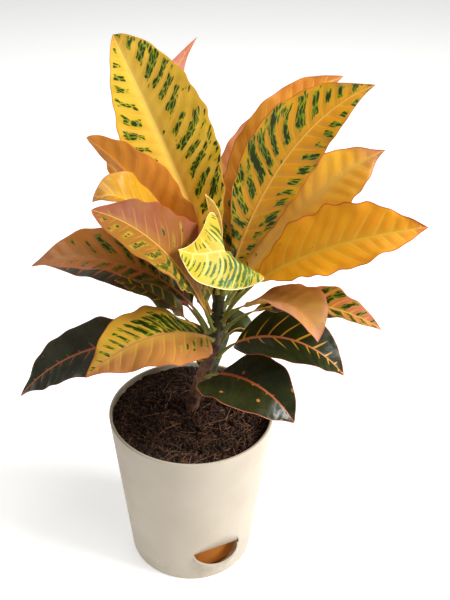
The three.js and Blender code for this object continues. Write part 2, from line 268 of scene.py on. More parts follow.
print("the rim is", 2 * POT_TOP_RADIUS, "mm across, the foot", 2 * POT_BASE_RADIUS)


# %% Solids for joining and cutting
def turned(name, profile, turns):
    """A turned solid. The profile runs from the axis, round the outside, to the axis."""
    points, rings = [], []
    for radius, height in profile:
        count = turns if radius > 1e-6 else 1
        rings.append(list(range(len(points), len(points) + count)))
        for k in range(count):
            angle = 2 * math.pi * k / turns
            points.append((radius * math.cos(angle), radius * math.sin(angle), height))
    faces = []
    for low, high in zip(rings, rings[1:]):
        for k in range(turns):
            a, b = low[k % len(low)], low[(k + 1) % len(low)]
            c, d = high[(k + 1) % len(high)], high[k % len(high)]
            faces.append([p for i, p in enumerate((a, b, c, d)) if p not in (a, b, c, d)[:i]])
    return make_mesh(name, points, faces)


def quarter(middle, radius, start, end, steps=6):
    """Profile points on an arc, with angles in degrees, 0 outward and 90 up."""
    angles = np.radians(np.linspace(start, end, steps + 1))
    return [(middle[0] + radius * math.cos(a), middle[1] + radius * math.sin(a)) for a in angles]


def hull(name, points):
    """The convex solid around some points in mm."""
    shape = bmesh.new()
    for point in points:
        shape.verts.new([c * MM for c in point])
    bmesh.ops.remove_doubles(shape, verts=shape.verts, dist=0.01 * MM)
    made = bmesh.ops.convex_hull(shape, input=shape.verts)
    spare = {v for v in made["geom_interior"] + made["geom_unused"] if isinstance(v, bmesh.types.BMVert)}
    bmesh.ops.delete(shape, geom=list(spare))
    piece = make_mesh(name, [], [])
    shape.to_mesh(piece.data)
    shape.free()
    return piece


def apply_modifiers(piece):
    """Turns a piece's modifiers into mesh."""
    bpy.context.view_layer.update()
    seen = piece.evaluated_get(bpy.context.evaluated_depsgraph_get())
    finished = bpy.data.meshes.new_from_object(seen)
    piece.modifiers.clear()
    piece.data = finished
    return piece


def work(piece, tool, operation):
    """Joins, cuts or intersects a piece with a tool, which is then removed."""
    change = piece.modifiers.new(operation, "BOOLEAN")
    change.operation, change.object, change.solver = operation, tool, "EXACT"
    apply_modifiers(piece)
    bpy.data.objects.remove(tool)
    return piece


print("solids can be turned, hulled, joined and cut")


# %% The pot's wall
def pot_outline():
    """The outer profile up to the rim's top."""
    side = outer_radius(POT_HEIGHT) - RIM_ROUNDING
    foot = POT_BASE_RADIUS - FOOT_ROUNDING
    return [(0, 0), *quarter((foot, FOOT_ROUNDING), FOOT_ROUNDING, -90, -6),
            *quarter((side, POT_HEIGHT - RIM_ROUNDING), RIM_ROUNDING, -6, 90)]


pot_profile = pot_outline() + quarter(
    (inner_radius(POT_HEIGHT) + 0.7, POT_HEIGHT - 0.7), 0.7, 90, 180) + [
    (inner_radius(30), 30), (inner_radius(POT_FLOOR + 2), POT_FLOOR + 2),
    (inner_radius(POT_FLOOR) - 2, POT_FLOOR), (0, POT_FLOOR)]
pot = turned("pot_body", pot_profile, POT_TURNS)
print("pot wall:", len(pot.data.polygons), "faces")

# %% The watering port
PANEL_FOOT = outer_radius(PORT_CHORD) - PANEL_DEPTH
PANEL_RISE = outer_radius(PORT_CHORD + PORT_RADIUS) - PANEL_FOOT


def half_disc(name, radius, back, front, flat_front=None):
    """Half a disc that stands on the port's chord, between two slanting faces."""
    points = []
    for angle in np.radians(np.linspace(0, 180, 49)):
        rise, across = radius * math.sin(angle), radius * math.cos(angle)
        panel = PANEL_FOOT + PANEL_RISE * rise / PORT_RADIUS
        points.append((across, -(panel + back), PORT_CHORD + rise))
        points.append((across, -(flat_front or panel + front), PORT_CHORD + rise))
    return hull(name, points)


def scoop_body(name, inset, inward, flat_top=None):
    """The scoop's half-round lip and belly, or with an inset its hollow."""
    points = []
    for angle in np.radians(np.linspace(0, 180, 41)):
        across = (PORT_RADIUS - inset) * math.cos(angle)
        bulge = (SCOOP_REACH - inset) * math.sin(angle)
        wall = math.sqrt(outer_radius(LIP_HEIGHT) ** 2 - across ** 2)
        lip = LIP_ENDS - (LIP_ENDS - LIP_HEIGHT) * math.sin(angle)
        belly = lip - SCOOP_BELLY * math.sin(angle)
        foot = LIP_ENDS - (LIP_ENDS - SCOOP_FOOT - inset) * math.sin(angle)
        top = flat_top or lip
        points += [(across, -(wall + bulge), top),
                   (across, -(wall + bulge * 0.92), belly),
                   (across * 0.94, -(wall - inward), foot),
                   (across, -(wall - inward), top)]
    return hull(name, points)


outside = turned("outside", [*pot_outline(), (0, POT_HEIGHT)], POT_TURNS)
panel = work(half_disc("panel", PORT_RADIUS + 2, -PANEL_WALL, PANEL_WALL), outside, "INTERSECT")
work(pot, panel, "UNION")
work(pot, half_disc("recess", PORT_RADIUS, 0, 0, 70), "DIFFERENCE")
work(pot, scoop_body("scoop", 0, 2), "UNION")
work(pot, scoop_body("scoop hollow", SCOOP_WALL, 7, PORT_CHORD + 0.4), "DIFFERENCE")
pot.data.transform(Matrix.Rotation(math.radians(PORT_TURN), 4, "Z"))
print("pot with its port:", len(pot.data.polygons), "faces")

# %% Round the mould's edges
MOULD_ROUNDING = 0.45

edges = pot.modifiers.new("edges", "BEVEL")
edges.width, edges.segments = MOULD_ROUNDING * MM, 3
edges.limit_method, edges.angle_limit = "ANGLE", math.radians(32)
apply_modifiers(pot)
pot.data.polygons.foreach_set("use_smooth", [True] * len(pot.data.polygons))
pot.data.set_sharp_from_angle(angle=math.radians(38))
print("rounded:", len(pot.data.polygons), "faces")

# %% [markdown]
# ## Moulded plastic
# Polypropylene in an ivory masterbatch, moulded in a tool with a fine spark-eroded
# grain. The grain, about 0.2 mm, is too fine to show, so it is drawn at 0.6 mm. The
# eye sees a soft, satin surface with hardly any highlight, a faint cloudiness of the
# colour and a little dust and scuffing towards the foot. Polypropylene's index of
# refraction is about 1.49.

# %% Ivory polypropylene
def moulded_plastic(name, colour, cloud, scuff, roughness, through=0.0):
    """Satin moulded plastic with fine grain, faint clouds and scuffs near the foot.

    `through` is the light that a thin wall lets through, as a faint glow of its own.
    """
    material, tree = new_material(name)
    where = node(tree, "TexCoord", output="Object")
    clouds = node(tree, "TexNoise", {"Vector": where, "Scale": 28.0, "Detail": 3.0}, "Fac")
    clouds = graded(tree, clouds, 0.35, 0.65)
    tint = blend(tree, clouds, paint(colour), paint(cloud))
    height = node(tree, "SeparateXYZ", {0: where}, "Z")
    low = graded(tree, height, 0.0, 0.030, 0.5, 0.0)
    rubbed = node(tree, "TexNoise", {"Vector": where, "Scale": 160.0, "Detail": 4.0}, "Fac")
    rubbed = graded(tree, rubbed, 0.52, 0.75)
    rubbed = node(tree, "Math", {0: rubbed, 1: low}, operation="MULTIPLY")
    tint = blend(tree, rubbed, tint, paint(scuff))
    grain = node(tree, "TexNoise", {"Vector": where, "Scale": 1600.0, "Detail": 2.0}, "Fac")
    bumps = node(tree, "Bump", {"Height": grain, "Strength": 0.12, "Distance": 0.0002})
    matt = graded(tree, clouds, 0.0, 1.0, roughness - 0.04, roughness + 0.05)
    surface = node(tree, "BsdfPrincipled", {
        "Base Color": tint, "Roughness": matt, "IOR": 1.49, "Normal": bumps,
        "Subsurface Weight": 0.08, "Subsurface Radius": (1.0, 0.8, 0.6),
        "Subsurface Scale": 0.002, "Emission Color": tint, "Emission Strength": through})
    node(tree, "OutputMaterial", {"Surface": surface})
    return material


pot.data.materials.clear()
pot.data.materials.append(moulded_plastic(
    "ivory polypropylene", "#c4b8a6", "#bdb19e", "#9c8e76", 0.5))
settle(pot, "ivory_plastic", "pot")
print("the pot is ivory")

# %% [markdown]
# ## The basket behind the port
# Inside the pot a slotted amber basket holds the soil above the water. Only a strip of
# it shows through the port. It is turned and slotted all the same, because it can be
# taken out of the scene as a piece of its own. No slot shows in the opening, so the two
# places beside the port stay closed. The real strip is an even amber, since light comes
# through the thin wall of the pot round it. The pot here is too opaque for that, and a
# faint glow of the basket's own colour makes up for it.

# %% Basket
BASKET_RADIUS = 42.5
BASKET_WALL = 1.6
BASKET_FLOOR = 8
BASKET_TOP = 52
BASKET_FOOT_RADIUS = 15
SLOT_COUNT = 10                   # places, of which the two beside the port are closed
SLOT_WIDTH = 3
SLOT_HEIGHT = 22

flange = inner_radius(BASKET_TOP) - 0.6
foot_wall = BASKET_FOOT_RADIUS - BASKET_WALL
basket = turned("basket_body", [
    (0, POT_FLOOR + 0.3), (BASKET_FOOT_RADIUS, POT_FLOOR + 0.3), (BASKET_FOOT_RADIUS, BASKET_FLOOR),
    (BASKET_RADIUS - 1, BASKET_FLOOR), (BASKET_RADIUS, BASKET_FLOOR + 1),
    (BASKET_RADIUS, BASKET_TOP - BASKET_WALL), (flange, BASKET_TOP - BASKET_WALL),
    (flange, BASKET_TOP), (BASKET_RADIUS - BASKET_WALL, BASKET_TOP),
    (BASKET_RADIUS - BASKET_WALL, BASKET_FLOOR + BASKET_WALL),
    (foot_wall, BASKET_FLOOR + BASKET_WALL), (foot_wall, POT_FLOOR + 0.3 + BASKET_WALL),
    (0, POT_FLOOR + 0.3 + BASKET_WALL)], 144)
for number in range(1, SLOT_COUNT - 1):
    low, high = BASKET_FLOOR + 8, BASKET_FLOOR + 8 + SLOT_HEIGHT
    slot = hull("slot", [(x, y, z) for x in (-SLOT_WIDTH / 2, SLOT_WIDTH / 2)
                         for y in (-BASKET_RADIUS - 4, -BASKET_RADIUS + 4) for z in (low, high)])
    turn = math.radians(PORT_TURN) + 2 * math.pi * (number + 0.5) / SLOT_COUNT
    slot.data.transform(Matrix.Rotation(turn, 4, "Z"))
    work(basket, slot, "DIFFERENCE")
basket.data.set_sharp_from_angle(angle=math.radians(30))
basket.data.materials.clear()
basket.data.materials.append(
    moulded_plastic("amber polypropylene", "#bc7630", "#b26c2a", "#985c1e", 0.42, 0.26))
settle(basket, "amber_plastic", "soil_basket")
print("basket:", len(basket.data.polygons), "faces,", SLOT_COUNT - 2, "slots")

# %% [markdown]
# ## The soil
# The pot holds a mix of peat and coir: dark crumbs a few millimetres across, with a
# felt of finer and lighter fibres and a few pale roots near the stem. A bump map alone
# would lie flat at the rim and against the stem, so the surface is a fine mesh with
# real clumps, and crumbs and fibres are laid over it as meshes of their own.

# %% The soil's surface
SOIL_TOP = 125.5
SOIL_RIPPLE = 1.1
SOIL_RISE = 3.6                   # how much higher the soil lies at the back, on the left
SOIL_RINGS = 120
SOIL_TURNS = 320


def clump(x, y, size, seed):
    """Smooth noise from about -1 to 1, with lumps of about `size` mm."""
    return noise.noise(Vector((x / size + seed, y / size - seed, seed)))


def soil_surface(x, y):
    """Height of the soil at a place: low heaps, clumps and crumbs."""
    heaps = SOIL_RIPPLE * (math.sin(x / 9 + 1) * math.cos(y / 11) + 0.5 * math.sin(x / 5 - y / 6))
    heaps += SOIL_RISE * float(smooth_step((y - 0.5 * x) / 60, -0.4, 0.9))
    clumps = 1.9 * clump(x, y, 7.5, 3.1) + 1.2 * abs(clump(x, y, 3.4, 7.7)) * 2 - 0.9
    crumbs = 0.7 * clump(x, y, 1.5, 11.3)
    return SOIL_TOP + heaps + clumps + crumbs


soil_edge = inner_radius(SOIL_TOP) - 0.35
inside = BASKET_RADIUS - BASKET_WALL - 0.3
soil = turned("soil_ball", [
    (0, POT_FLOOR + 2.2), (foot_wall - 0.3, POT_FLOOR + 2.2),
    (foot_wall - 0.3, BASKET_FLOOR + BASKET_WALL + 0.3), (inside, BASKET_FLOOR + BASKET_WALL + 0.3),
    (inside, BASKET_TOP + 0.3), (inner_radius(BASKET_TOP + 0.3) - 0.7, BASKET_TOP + 0.3),
    *[(soil_edge * (1 - step / SOIL_RINGS), SOIL_TOP) for step in range(SOIL_RINGS + 1)]],
    SOIL_TURNS)
for vertex in soil.data.vertices:
    if vertex.co.z > (SOIL_TOP - 1) * MM:
        vertex.co.z = soil_surface(vertex.co.x / MM, vertex.co.y / MM) * MM
soil.data.update()
print("soil:", len(soil.data.vertices), "points")


# %% Crumbs
def scattered(rng, count, radius):
    """Random places in a disc, in mm."""
    angle, share = rng.uniform(0, 2 * math.pi, count), np.sqrt(rng.uniform(0, 1, count))
    return np.stack([radius * share * np.cos(angle), radius * share * np.sin(angle)], -1)


def add_tone(piece, tones):
    """Stores one value for each point, which the finish reads as light or dark."""
    layer = piece.data.attributes.new("tone", "FLOAT", "POINT")
    layer.data.foreach_set("value", np.asarray(tones, np.float32))


CRUMBS = 2300
rng = np.random.default_rng(5)
ball = bmesh.new()
bmesh.ops.create_icosphere(ball, subdivisions=1, radius=1)
ball_points = np.array([v.co for v in ball.verts])
ball_faces = np.array([[v.index for v in f.verts] for f in ball.faces])
ball.free()
points, faces, tones = [], [], []
for x, y in scattered(rng, CRUMBS, soil_edge - 1.5):
    size = (0.45 + 1.8 * rng.uniform() ** 2.2) * rng.uniform(0.6, 1.3, 3)
    turn = np.array(Euler(rng.uniform(0, 6.28, 3)).to_matrix())
    lumpy = ball_points * size * (1 + rng.uniform(-0.25, 0.25, (len(ball_points), 1)))
    faces += (ball_faces + len(points) * len(ball_points)).tolist()
    points.append(lumpy @ turn.T + (x, y, soil_surface(x, y) + 0.1))
    tones.append(np.full(len(ball_points), rng.uniform(0, 0.5)))
crumbs = make_mesh("soil_crumbs", np.concatenate(points), faces)
add_tone(crumbs, np.concatenate(tones))
print("crumbs:", CRUMBS)

# %% Fibres
FIBRES = 1700
ROOTS = 16                        # long pale ones near the stem
FIBRE_STEPS = 8
FIBRE_SIDES = 4


def fibre_tube(line, radius):
    """Rings of a thin tapering tube along a line of points."""
    along = unit(np.gradient(line, axis=0))
    side = unit(np.cross(along, (0, 0, 1)) + (1e-6, 0, 0))
    up = np.cross(side, along)
    taper = radius * (0.35 + 0.65 * np.sin(np.linspace(0.15, 3.0, len(line))))[:, None]
    turns = [2 * math.pi * k / FIBRE_SIDES for k in range(FIBRE_SIDES)]
    rings = [line + taper * (side * math.cos(a) + up * math.sin(a)) for a in turns]
    return np.stack(rings, 1).reshape(-1, 3)


points, faces, tones = [], [], []
one_tube = tube_faces(FIBRE_STEPS + 1, FIBRE_SIDES)
places = np.concatenate([scattered(rng, ROOTS, 30), scattered(rng, FIBRES, soil_edge - 1.0)])
for number, (x, y) in enumerate(places):
    root = number < ROOTS
    length = rng.uniform(3, 9) if rng.uniform() < 0.75 else rng.uniform(9, 22)
    length = rng.uniform(16, 34) if root else length
    heading, bend = rng.uniform(0, 2 * math.pi), rng.normal(0, 1.0)
    steps = np.linspace(-0.5, 0.5, FIBRE_STEPS + 1)
    angle = heading + bend * steps
    path = np.cumsum(np.stack([np.cos(angle), np.sin(angle)], -1) * length / FIBRE_STEPS, 0)
    path += (x, y) - path.mean(0)
    far = np.linalg.norm(path, axis=1).max()
    if far > soil_edge - 0.4:
        path *= (soil_edge - 0.4) / far
    arch = rng.uniform(0.1, 1.4) * np.cos(np.pi * steps) + rng.normal(0, 0.5) * steps
    heights = [soil_surface(px, py) for px, py in path]
    level = 0.5 * np.array(heights) + 0.5 * np.mean(heights)
    line = np.column_stack([path, level + 0.25 + arch])
    base = len(points) * (FIBRE_STEPS + 1) * FIBRE_SIDES
    faces += [[corner + base for corner in face] for face in one_tube]
    points.append(fibre_tube(line, 0.32 if root else rng.uniform(0.08, 0.24)))
    # the fibres get lighter towards the front right
    lighter_to_front_right = 0.3 * float(smooth_step((x - y) / 60, -0.3, 1.0))
    tones.append(np.full(len(points[-1]), 0.9 if root else rng.uniform(0, 1) ** 2.4 + lighter_to_front_right))
fibres = make_mesh("soil_fibres", np.concatenate(points), faces)
add_tone(fibres, np.concatenate(tones))
print("fibres:", FIBRES, "and", ROOTS, "roots")

# %% [markdown]
# ## Coir and peat
# Moist peat is nearly black-brown and quite dull. Dry coir fibres are a lighter tan
# and a bit shinier. Each crumb and fibre has its own tone, and the finish goes from
# peat to coir with it.

# %% Soil finish
def soil_finish(name, dark, light, roughness):
    """Dull crumbly brown that goes from dark to light with each point's tone."""
    material, tree = new_material(name)
    where = node(tree, "TexCoord", output="Object")
    tone = node(tree, "Attribute", output="Fac", attribute_name="tone")
    patches = node(tree, "TexNoise", {"Vector": where, "Scale": 420.0, "Detail": 4.0}, "Fac")
    patches = graded(tree, patches, 0.35, 0.75, -0.12, 0.3)
    amount = node(tree, "Math", {0: tone, 1: patches}, operation="ADD", use_clamp=True)
    tint = blend(tree, amount, paint(dark), paint(light))
    grain = node(tree, "TexNoise", {"Vector": where, "Scale": 2200.0, "Detail": 3.0}, "Fac")
    bumps = node(tree, "Bump", {"Height": grain, "Strength": 0.6, "Distance": 0.0004})
    surface = node(tree, "BsdfPrincipled", {
        "Base Color": tint, "Roughness": roughness, "IOR": 1.45, "Normal": bumps})
    node(tree, "OutputMaterial", {"Surface": surface})
    return material


soil.data.materials.append(soil_finish("moist peat", "#120704", "#3a2014", 0.95))
crumbs.data.materials.append(soil_finish("peat crumbs", "#140905", "#553222", 0.92))
fibres.data.materials.append(soil_finish("coir fibre", "#24120a", "#a87a58", 0.7))
settle(soil, "coir_soil", "soil")
settle(crumbs, "coir_soil")
settle(fibres, "coir_soil")
print("the soil has three pieces")

# %% [markdown]
# ## The leaves: places and sizes
# Every leaf grows from a node on the stem, rises on a round stalk and opens into a
# thick blade, folded a little along its midrib. A free-form surface could be pulled
# into each leaf by hand, but thirty leaves made that way would share nothing. Here
# one sweep makes them all: a midrib curve through four points, and the blade's halves
# as lengths and angles beside it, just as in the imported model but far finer.
#
# `node` is the height on the stem where the leaf grows, `lift` and `arch` pull the
# midrib's curve and `tip` ends it. `petiole` is the stalk's share of that curve. Pairs
# are for the left and the right half, looking from the stem to the tip: `half` is the
# greatest width, `peak` where it lies, and a smaller `full` makes the outline rounder.
# `fold` and `curl` lift a half in degrees, `roll` turns the blade round its midrib at
# its foot and its tip, and `fan` sweeps a half back. Three values only shape the margin:
# `wave` in mm up and down, `ragged` for small notches and `drip` for a drawn-out tip.

# %% Leaf sizes
PLAIN_LEAF = dict(
    petiole=0.2, half=(22, 22), peak=(0.5, 0.5), full=(0.85, 0.85), fold=(18, 18),
    curl=(10, 10), roll=(0, 0), wave=1.2, fan=((0, 0), (0, 0)), drip=0.35, ragged=1.0)

LEAVES = dict(
    top_left=dict(node=229, lift=(15, 10, 267), arch=(-22, 31, 343), tip=(-48, 22, 405),
                  petiole=0.16, half=(28, 35), peak=(0.5, 0.6), full=(0.78, 0.62),
                  fold=(14, 14), curl=(0, 0), roll=(75, 70), fan=((0, 0), (0, -6)), drip=0),
    back_top=dict(node=227, lift=(12, 30, 262), arch=(-50, 70, 328), tip=(4, 84, 388),
                  petiole=0.16, half=(17, 12), fold=(14, 14), curl=(0, 0), roll=(0, -10)),
    left_upper=dict(ragged=1.6, node=214, lift=(-1, 3, 262), arch=(-24, -10, 321), tip=(-66, 4, 346),
                    half=(21, 14), full=(0.65, 0.6), roll=(-60, -70), drip=0.1),
    left_mid=dict(ragged=2.0, node=201, lift=(6, -14, 240), arch=(-13, -58, 313), tip=(-58, -58, 325),
                  petiole=0.18, half=(37, 29), peak=(0.7, 0.4), full=(0.7, 0.8), roll=(60, 40),
                  drip=0.1),
    left_mid_behind=dict(node=207, lift=(0, -5, 250), arch=(-33, -33, 343),
                         tip=(-60, -34, 319), half=(12, 21), peak=(0.6, 0.6), roll=(10, 25)),
    left_long=dict(node=197, lift=(-2, 0, 242), arch=(-50, -12, 284), tip=(-103, -28, 271),
                   half=(22, 24), roll=(25, 20)),
    left_under=dict(node=192, lift=(-6, 19, 230), arch=(-50, 17, 257), tip=(-108, 10, 252),
                    roll=(30, 30)),
    left_green=dict(node=183, lift=(-4, 8, 217), arch=(-28, -3, 241), tip=(-52, -9, 250),
                    petiole=0.3, half=(16, 16), roll=(30, 20)),
    left_front=dict(node=192, lift=(4, -14, 214), arch=(-30, -42, 238), tip=(-69, -60, 206),
                    petiole=0.1, half=(29, 24), peak=(0.42, 0.55), fold=(-15, 18), roll=(0, 10)),
    left_dark_low=dict(node=172, lift=(-24, 4, 200), arch=(-88, 6, 196), tip=(-128, 0, 144),
                       petiole=0.22, half=(25, 23), fold=(-5, 18), roll=(10, 10)),
    right_top=dict(node=229, lift=(30, 12, 264), arch=(56, 20, 350), tip=(116, 22, 374),
                   petiole=0.14, half=(28, 20), peak=(0.6, 0.5), full=(0.95, 0.85), fold=(18, -22),
                   roll=(-60, -60)),
    right_top_behind=dict(node=225, lift=(34, 25, 266), arch=(44, 52, 350), tip=(103, 64, 367),
                          petiole=0.16, half=(24, 24), roll=(-40, -50)),
    back_centre=dict(node=218, lift=(26, 34, 262), arch=(34, 70, 308), tip=(66, 90, 346),
                     petiole=0.16, half=(20, 20)),
    right_upper=dict(ragged=2.2, node=220, lift=(44, 11, 250), arch=(83, 15, 315), tip=(126, 16, 333),
                     petiole=0.16, half=(25, 29), roll=(-45, -50), drip=0.55),
    right_low_big=dict(ragged=2.6, node=212, lift=(45, -3, 259), arch=(96, -27, 292), tip=(147, -32, 301),
                       petiole=0.24, half=(27, 28), peak=(0.5, 0.56), roll=(-35, -35)),
    young_folded=dict(node=231, lift=(36, -28, 306), arch=(14, -10, 260), tip=(-8, -42, 291),
                      petiole=0.46, half=(36, 25), peak=(0.3, 0.15), full=(0.55, 1),
                      fold=(-28, 50), roll=(-25, 40), wave=0.4, fan=((70, 12), (-15, -15)),
                      drip=0),
    young_rolled=dict(node=232, lift=(18, 2, 256), arch=(14, 0, 292), tip=(9, -8, 313),
                      petiole=0.3, half=(7, 7), fold=(50, 50), wave=0.2),
    right_folded=dict(ragged=1.6, node=208, lift=(36, -8, 238), arch=(74, -38, 262), tip=(81, -54, 230),
                      petiole=0.22, half=(20, 18), peak=(0.6, 0.6)),
    right_spotted=dict(ragged=3.5, node=198, lift=(44, 2, 230), arch=(92, -16, 244), tip=(128, -28, 222),
                       petiole=0.25, half=(15, 15), roll=(-10, -20)),
    right_back_green=dict(node=205, lift=(40, 22, 240), arch=(80, 40, 262), tip=(118, 52, 236),
                          petiole=0.25, half=(18, 18), roll=(-30, -30)),
    right_green_big=dict(node=176, lift=(34, 0, 204), arch=(78, -14, 218), tip=(108, -20, 178),
                         half=(24, 32), peak=(0.5, 0.42), roll=(-10, -20)),
    right_low_dark=dict(node=160, lift=(20, -12, 178), arch=(50, -40, 194), tip=(71, -50, 160),
                        petiole=0.24, half=(22, 34), peak=(0.5, 0.3), full=(0.85, 0.72),
                        roll=(-10, -30)),
    right_hidden_green=dict(node=183, lift=(28, 18, 190), arch=(44, 30, 204), tip=(48, 20, 160),
                            petiole=0.22, half=(18, 17)),
    back_hanging=dict(node=180, lift=(14, 36, 194), arch=(14, 52, 174), tip=(14, 26, 138),
                      half=(19, 19)),
    back_left=dict(node=212, lift=(12, 44, 246), arch=(-22, 92, 300), tip=(-60, 116, 268)),
    back_right=dict(node=209, lift=(40, 36, 248), arch=(66, 84, 306), tip=(96, 122, 276),
                    half=(23, 23)),
    back_mid=dict(node=200, lift=(16, 40, 232), arch=(14, 96, 280), tip=(8, 150, 244),
                  half=(23, 23)),
    left_back=dict(node=206, lift=(-8, 26, 241), arch=(-46, 42, 304), tip=(-60, 54, 312)),
    back_left_low=dict(node=190, lift=(-4, 32, 216), arch=(-38, 76, 246), tip=(-78, 104, 206)),
    back_right_low=dict(node=188, lift=(30, 36, 218), arch=(62, 76, 250), tip=(96, 112, 214)),
)
print(len(LEAVES), "leaves")

# %% The stem's middle line and thickness
STEM_LINE = np.array([(1, 7, 92), (0, 8, 127), (4, 8, 143), (9, 9, 160), (16, 10, 180),
                      (18, 10, 193), (20, 10, 233)], float)
STEM_THICKNESS = np.array([(92, 4.5), (127, 5.2), (233, 4)], float)   # height, radius


def stem_centre(height):
    """The middle of the stem at a height, or at several."""
    return np.stack([np.interp(height, STEM_LINE[:, 2], STEM_LINE[:, 0]),
                     np.interp(height, STEM_LINE[:, 2], STEM_LINE[:, 1]),
                     np.asarray(height, float)], -1)


def stem_radius(height):
    """The stem's radius at a height."""
    return np.interp(height, STEM_THICKNESS[:, 0], STEM_THICKNESS[:, 1])


print("the stem is", STEM_LINE[-1, 2] - STEM_LINE[1, 2], "mm tall above the soil")

# %% [markdown]
# ## The stem
# A croton's stem is woody at its foot and still green near the top. The bark is brown,
# finely ridged along its length, with a raised ring at each node and a half-moon scar
# where an old leaf has dropped. A plain tube would look like a twig from a toy, so the
# skin is a fine tube whose radius is changed by rings, scars and ridges.

# %% The stem's skin
STEM_STEP = 0.55                  # mm between two rings of points
STEM_AROUND = 60
SCARS = ((139, 250), (148, 60), (155, 200), (163, 290), (170, 120), (186, 255))   # height, degrees


def smooth_line(height):
    """The stem's middle line with its corners rounded."""
    spread = np.linspace(-6, 6, 9)
    weight = np.cos(spread / 6 * math.pi / 2) ** 2
    return sum(w * stem_centre(np.clip(height + d, 92, 233)) for d, w in zip(spread, weight)) \
        / weight.sum()


def stem_skin(heights, nodes):
    """Rings of points up the stem, with rings at the nodes, scars and bark ridges."""
    angle = np.arange(STEM_AROUND) * 2 * math.pi / STEM_AROUND
    rings = []
    for height in heights:
        radius = np.full(STEM_AROUND, float(stem_radius(height)))
        for at in nodes:
            radius += 0.35 * math.exp(-((height - at) / 1.1) ** 2)
        radius -= 0.12 * math.cos(2 * math.pi * height / 8.5)
        for at, degrees in SCARS:
            off = np.abs((np.degrees(angle) - degrees + 180) % 360 - 180) / 32
            far = np.hypot(off, (height - at) / 2.6)
            radius += 0.75 * np.exp(-((far - 0.9) / 0.28) ** 2) - 0.35 * np.exp(-(far / 0.6) ** 2)
        woody = 1 - float(smooth_step(height, 185, 225))
        ridges = [noise.noise(Vector((3.2 * math.cos(a), 3.2 * math.sin(a), height / 11)))
                  for a in angle]
        cracks = [noise.noise(Vector((7 * math.cos(a), 7 * math.sin(a), height / 2.2)))
                  for a in angle]
        radius += woody * (0.5 * np.array(ridges) + 0.16 * np.array(cracks))
        middle = smooth_line(height)
        rings.append(np.stack([middle[0] + radius * np.cos(angle),
                               middle[1] + radius * np.sin(angle),
                               np.full(STEM_AROUND, height)], -1))
    return rings


BUD_TOP = 235.5
stem_heights = np.arange(110, 232.5, STEM_STEP)
stem_rings = stem_skin(stem_heights, [leaf["node"] for leaf in LEAVES.values()])
for share in (0.25, 0.5, 0.72, 0.9, 0.98):
    ring = stem_rings[len(stem_heights) - 1]
    middle = ring.mean(0)
    ring = middle + (ring - middle) * math.sqrt(1 - share ** 2)
    ring[:, 2] = stem_heights[-1] + (BUD_TOP - stem_heights[-1]) * share
    stem_rings.append(ring)
stem = make_mesh("stem_bark", np.concatenate(stem_rings), tube_faces(len(stem_rings), STEM_AROUND))
print("stem:", len(stem.data.vertices), "points,", len(SCARS), "scars")

# %% [markdown]
# ## Bark
# The skin is thin young bark: dull brown cork over living tissue, cracked into short
# ridges, with a pinkish cast where light comes through and a green-brown rind on the
# soft upper part. The ridges in the mesh are about 2 mm wide, and the finish adds the
# cracks between them, drawn at 0.5 mm.

# %% Bark finish
def bark_finish():
    """Brown cork below, green-brown rind above, with fine cracks along the stem."""
    material, tree = new_material("young bark")
    where = node(tree, "TexCoord", output="Object")
    height = node(tree, "SeparateXYZ", {0: where}, "Z")
    drawn_out = node(tree, "VectorMath", {0: where, 1: (1.0, 1.0, 0.3)}, operation="MULTIPLY")
    streaks = node(tree, "TexNoise", {"Vector": drawn_out, "Scale": 700.0, "Detail": 5.0}, "Fac")
    patches = node(tree, "TexNoise", {"Vector": where, "Scale": 130.0, "Detail": 3.0}, "Fac")
    patches = graded(tree, patches, 0.38, 0.62)
    cork = blend(tree, patches, paint("#573d2f"), paint("#8e6449"))
    lifted = node(tree, "Math", {0: patches, 1: 0.02, 2: height}, operation="MULTIPLY_ADD")
    young = graded(tree, lifted, 0.185, 0.215, kind="SMOOTHSTEP")
    rind = blend(tree, patches, paint("#2c2a0e"), paint("#4a4418"))
    tint = blend(tree, young, cork, rind)
    dark = graded(tree, streaks, 0.3, 0.55, 0.55, 0.0)
    tint = blend(tree, dark, tint, paint("#24170f"))
    bumps = node(tree, "Bump", {"Height": streaks, "Strength": 0.5, "Distance": 0.0005})
    dull = graded(tree, young, 0.0, 1.0, 0.8, 0.55)
    surface = node(tree, "BsdfPrincipled", {
        "Base Color": tint, "Roughness": dull, "IOR": 1.45, "Normal": bumps})
    node(tree, "OutputMaterial", {"Surface": surface})
    return material


stem.data.materials.append(bark_finish())
settle(stem, "bark", "stem")
print("the stem is brown below and green above")

# %% [markdown]
# ## One leaf's surface
# A real blade is no flat card. Its midrib is a raised cord in a shallow valley, the
# side ribs press the blade into low quilts, its margin waves, and its edge is thin and
# round. All of that moves points by a few tenths of a millimetre up to about 1 mm, so
# it is modelled in the mesh, where the light can find it from any side.
#
# The mesh also carries three maps that the finishes read: `blade` holds millimetres
# along and across the leaf, `ribs` counts the side ribs and gives the share of the way
# from midrib to margin, and `edge` holds the millimetres to the margin and the share
# of the way from the blade's foot to its tip. A value on each point, `underside`, tells
# the lower skin from the upper one.

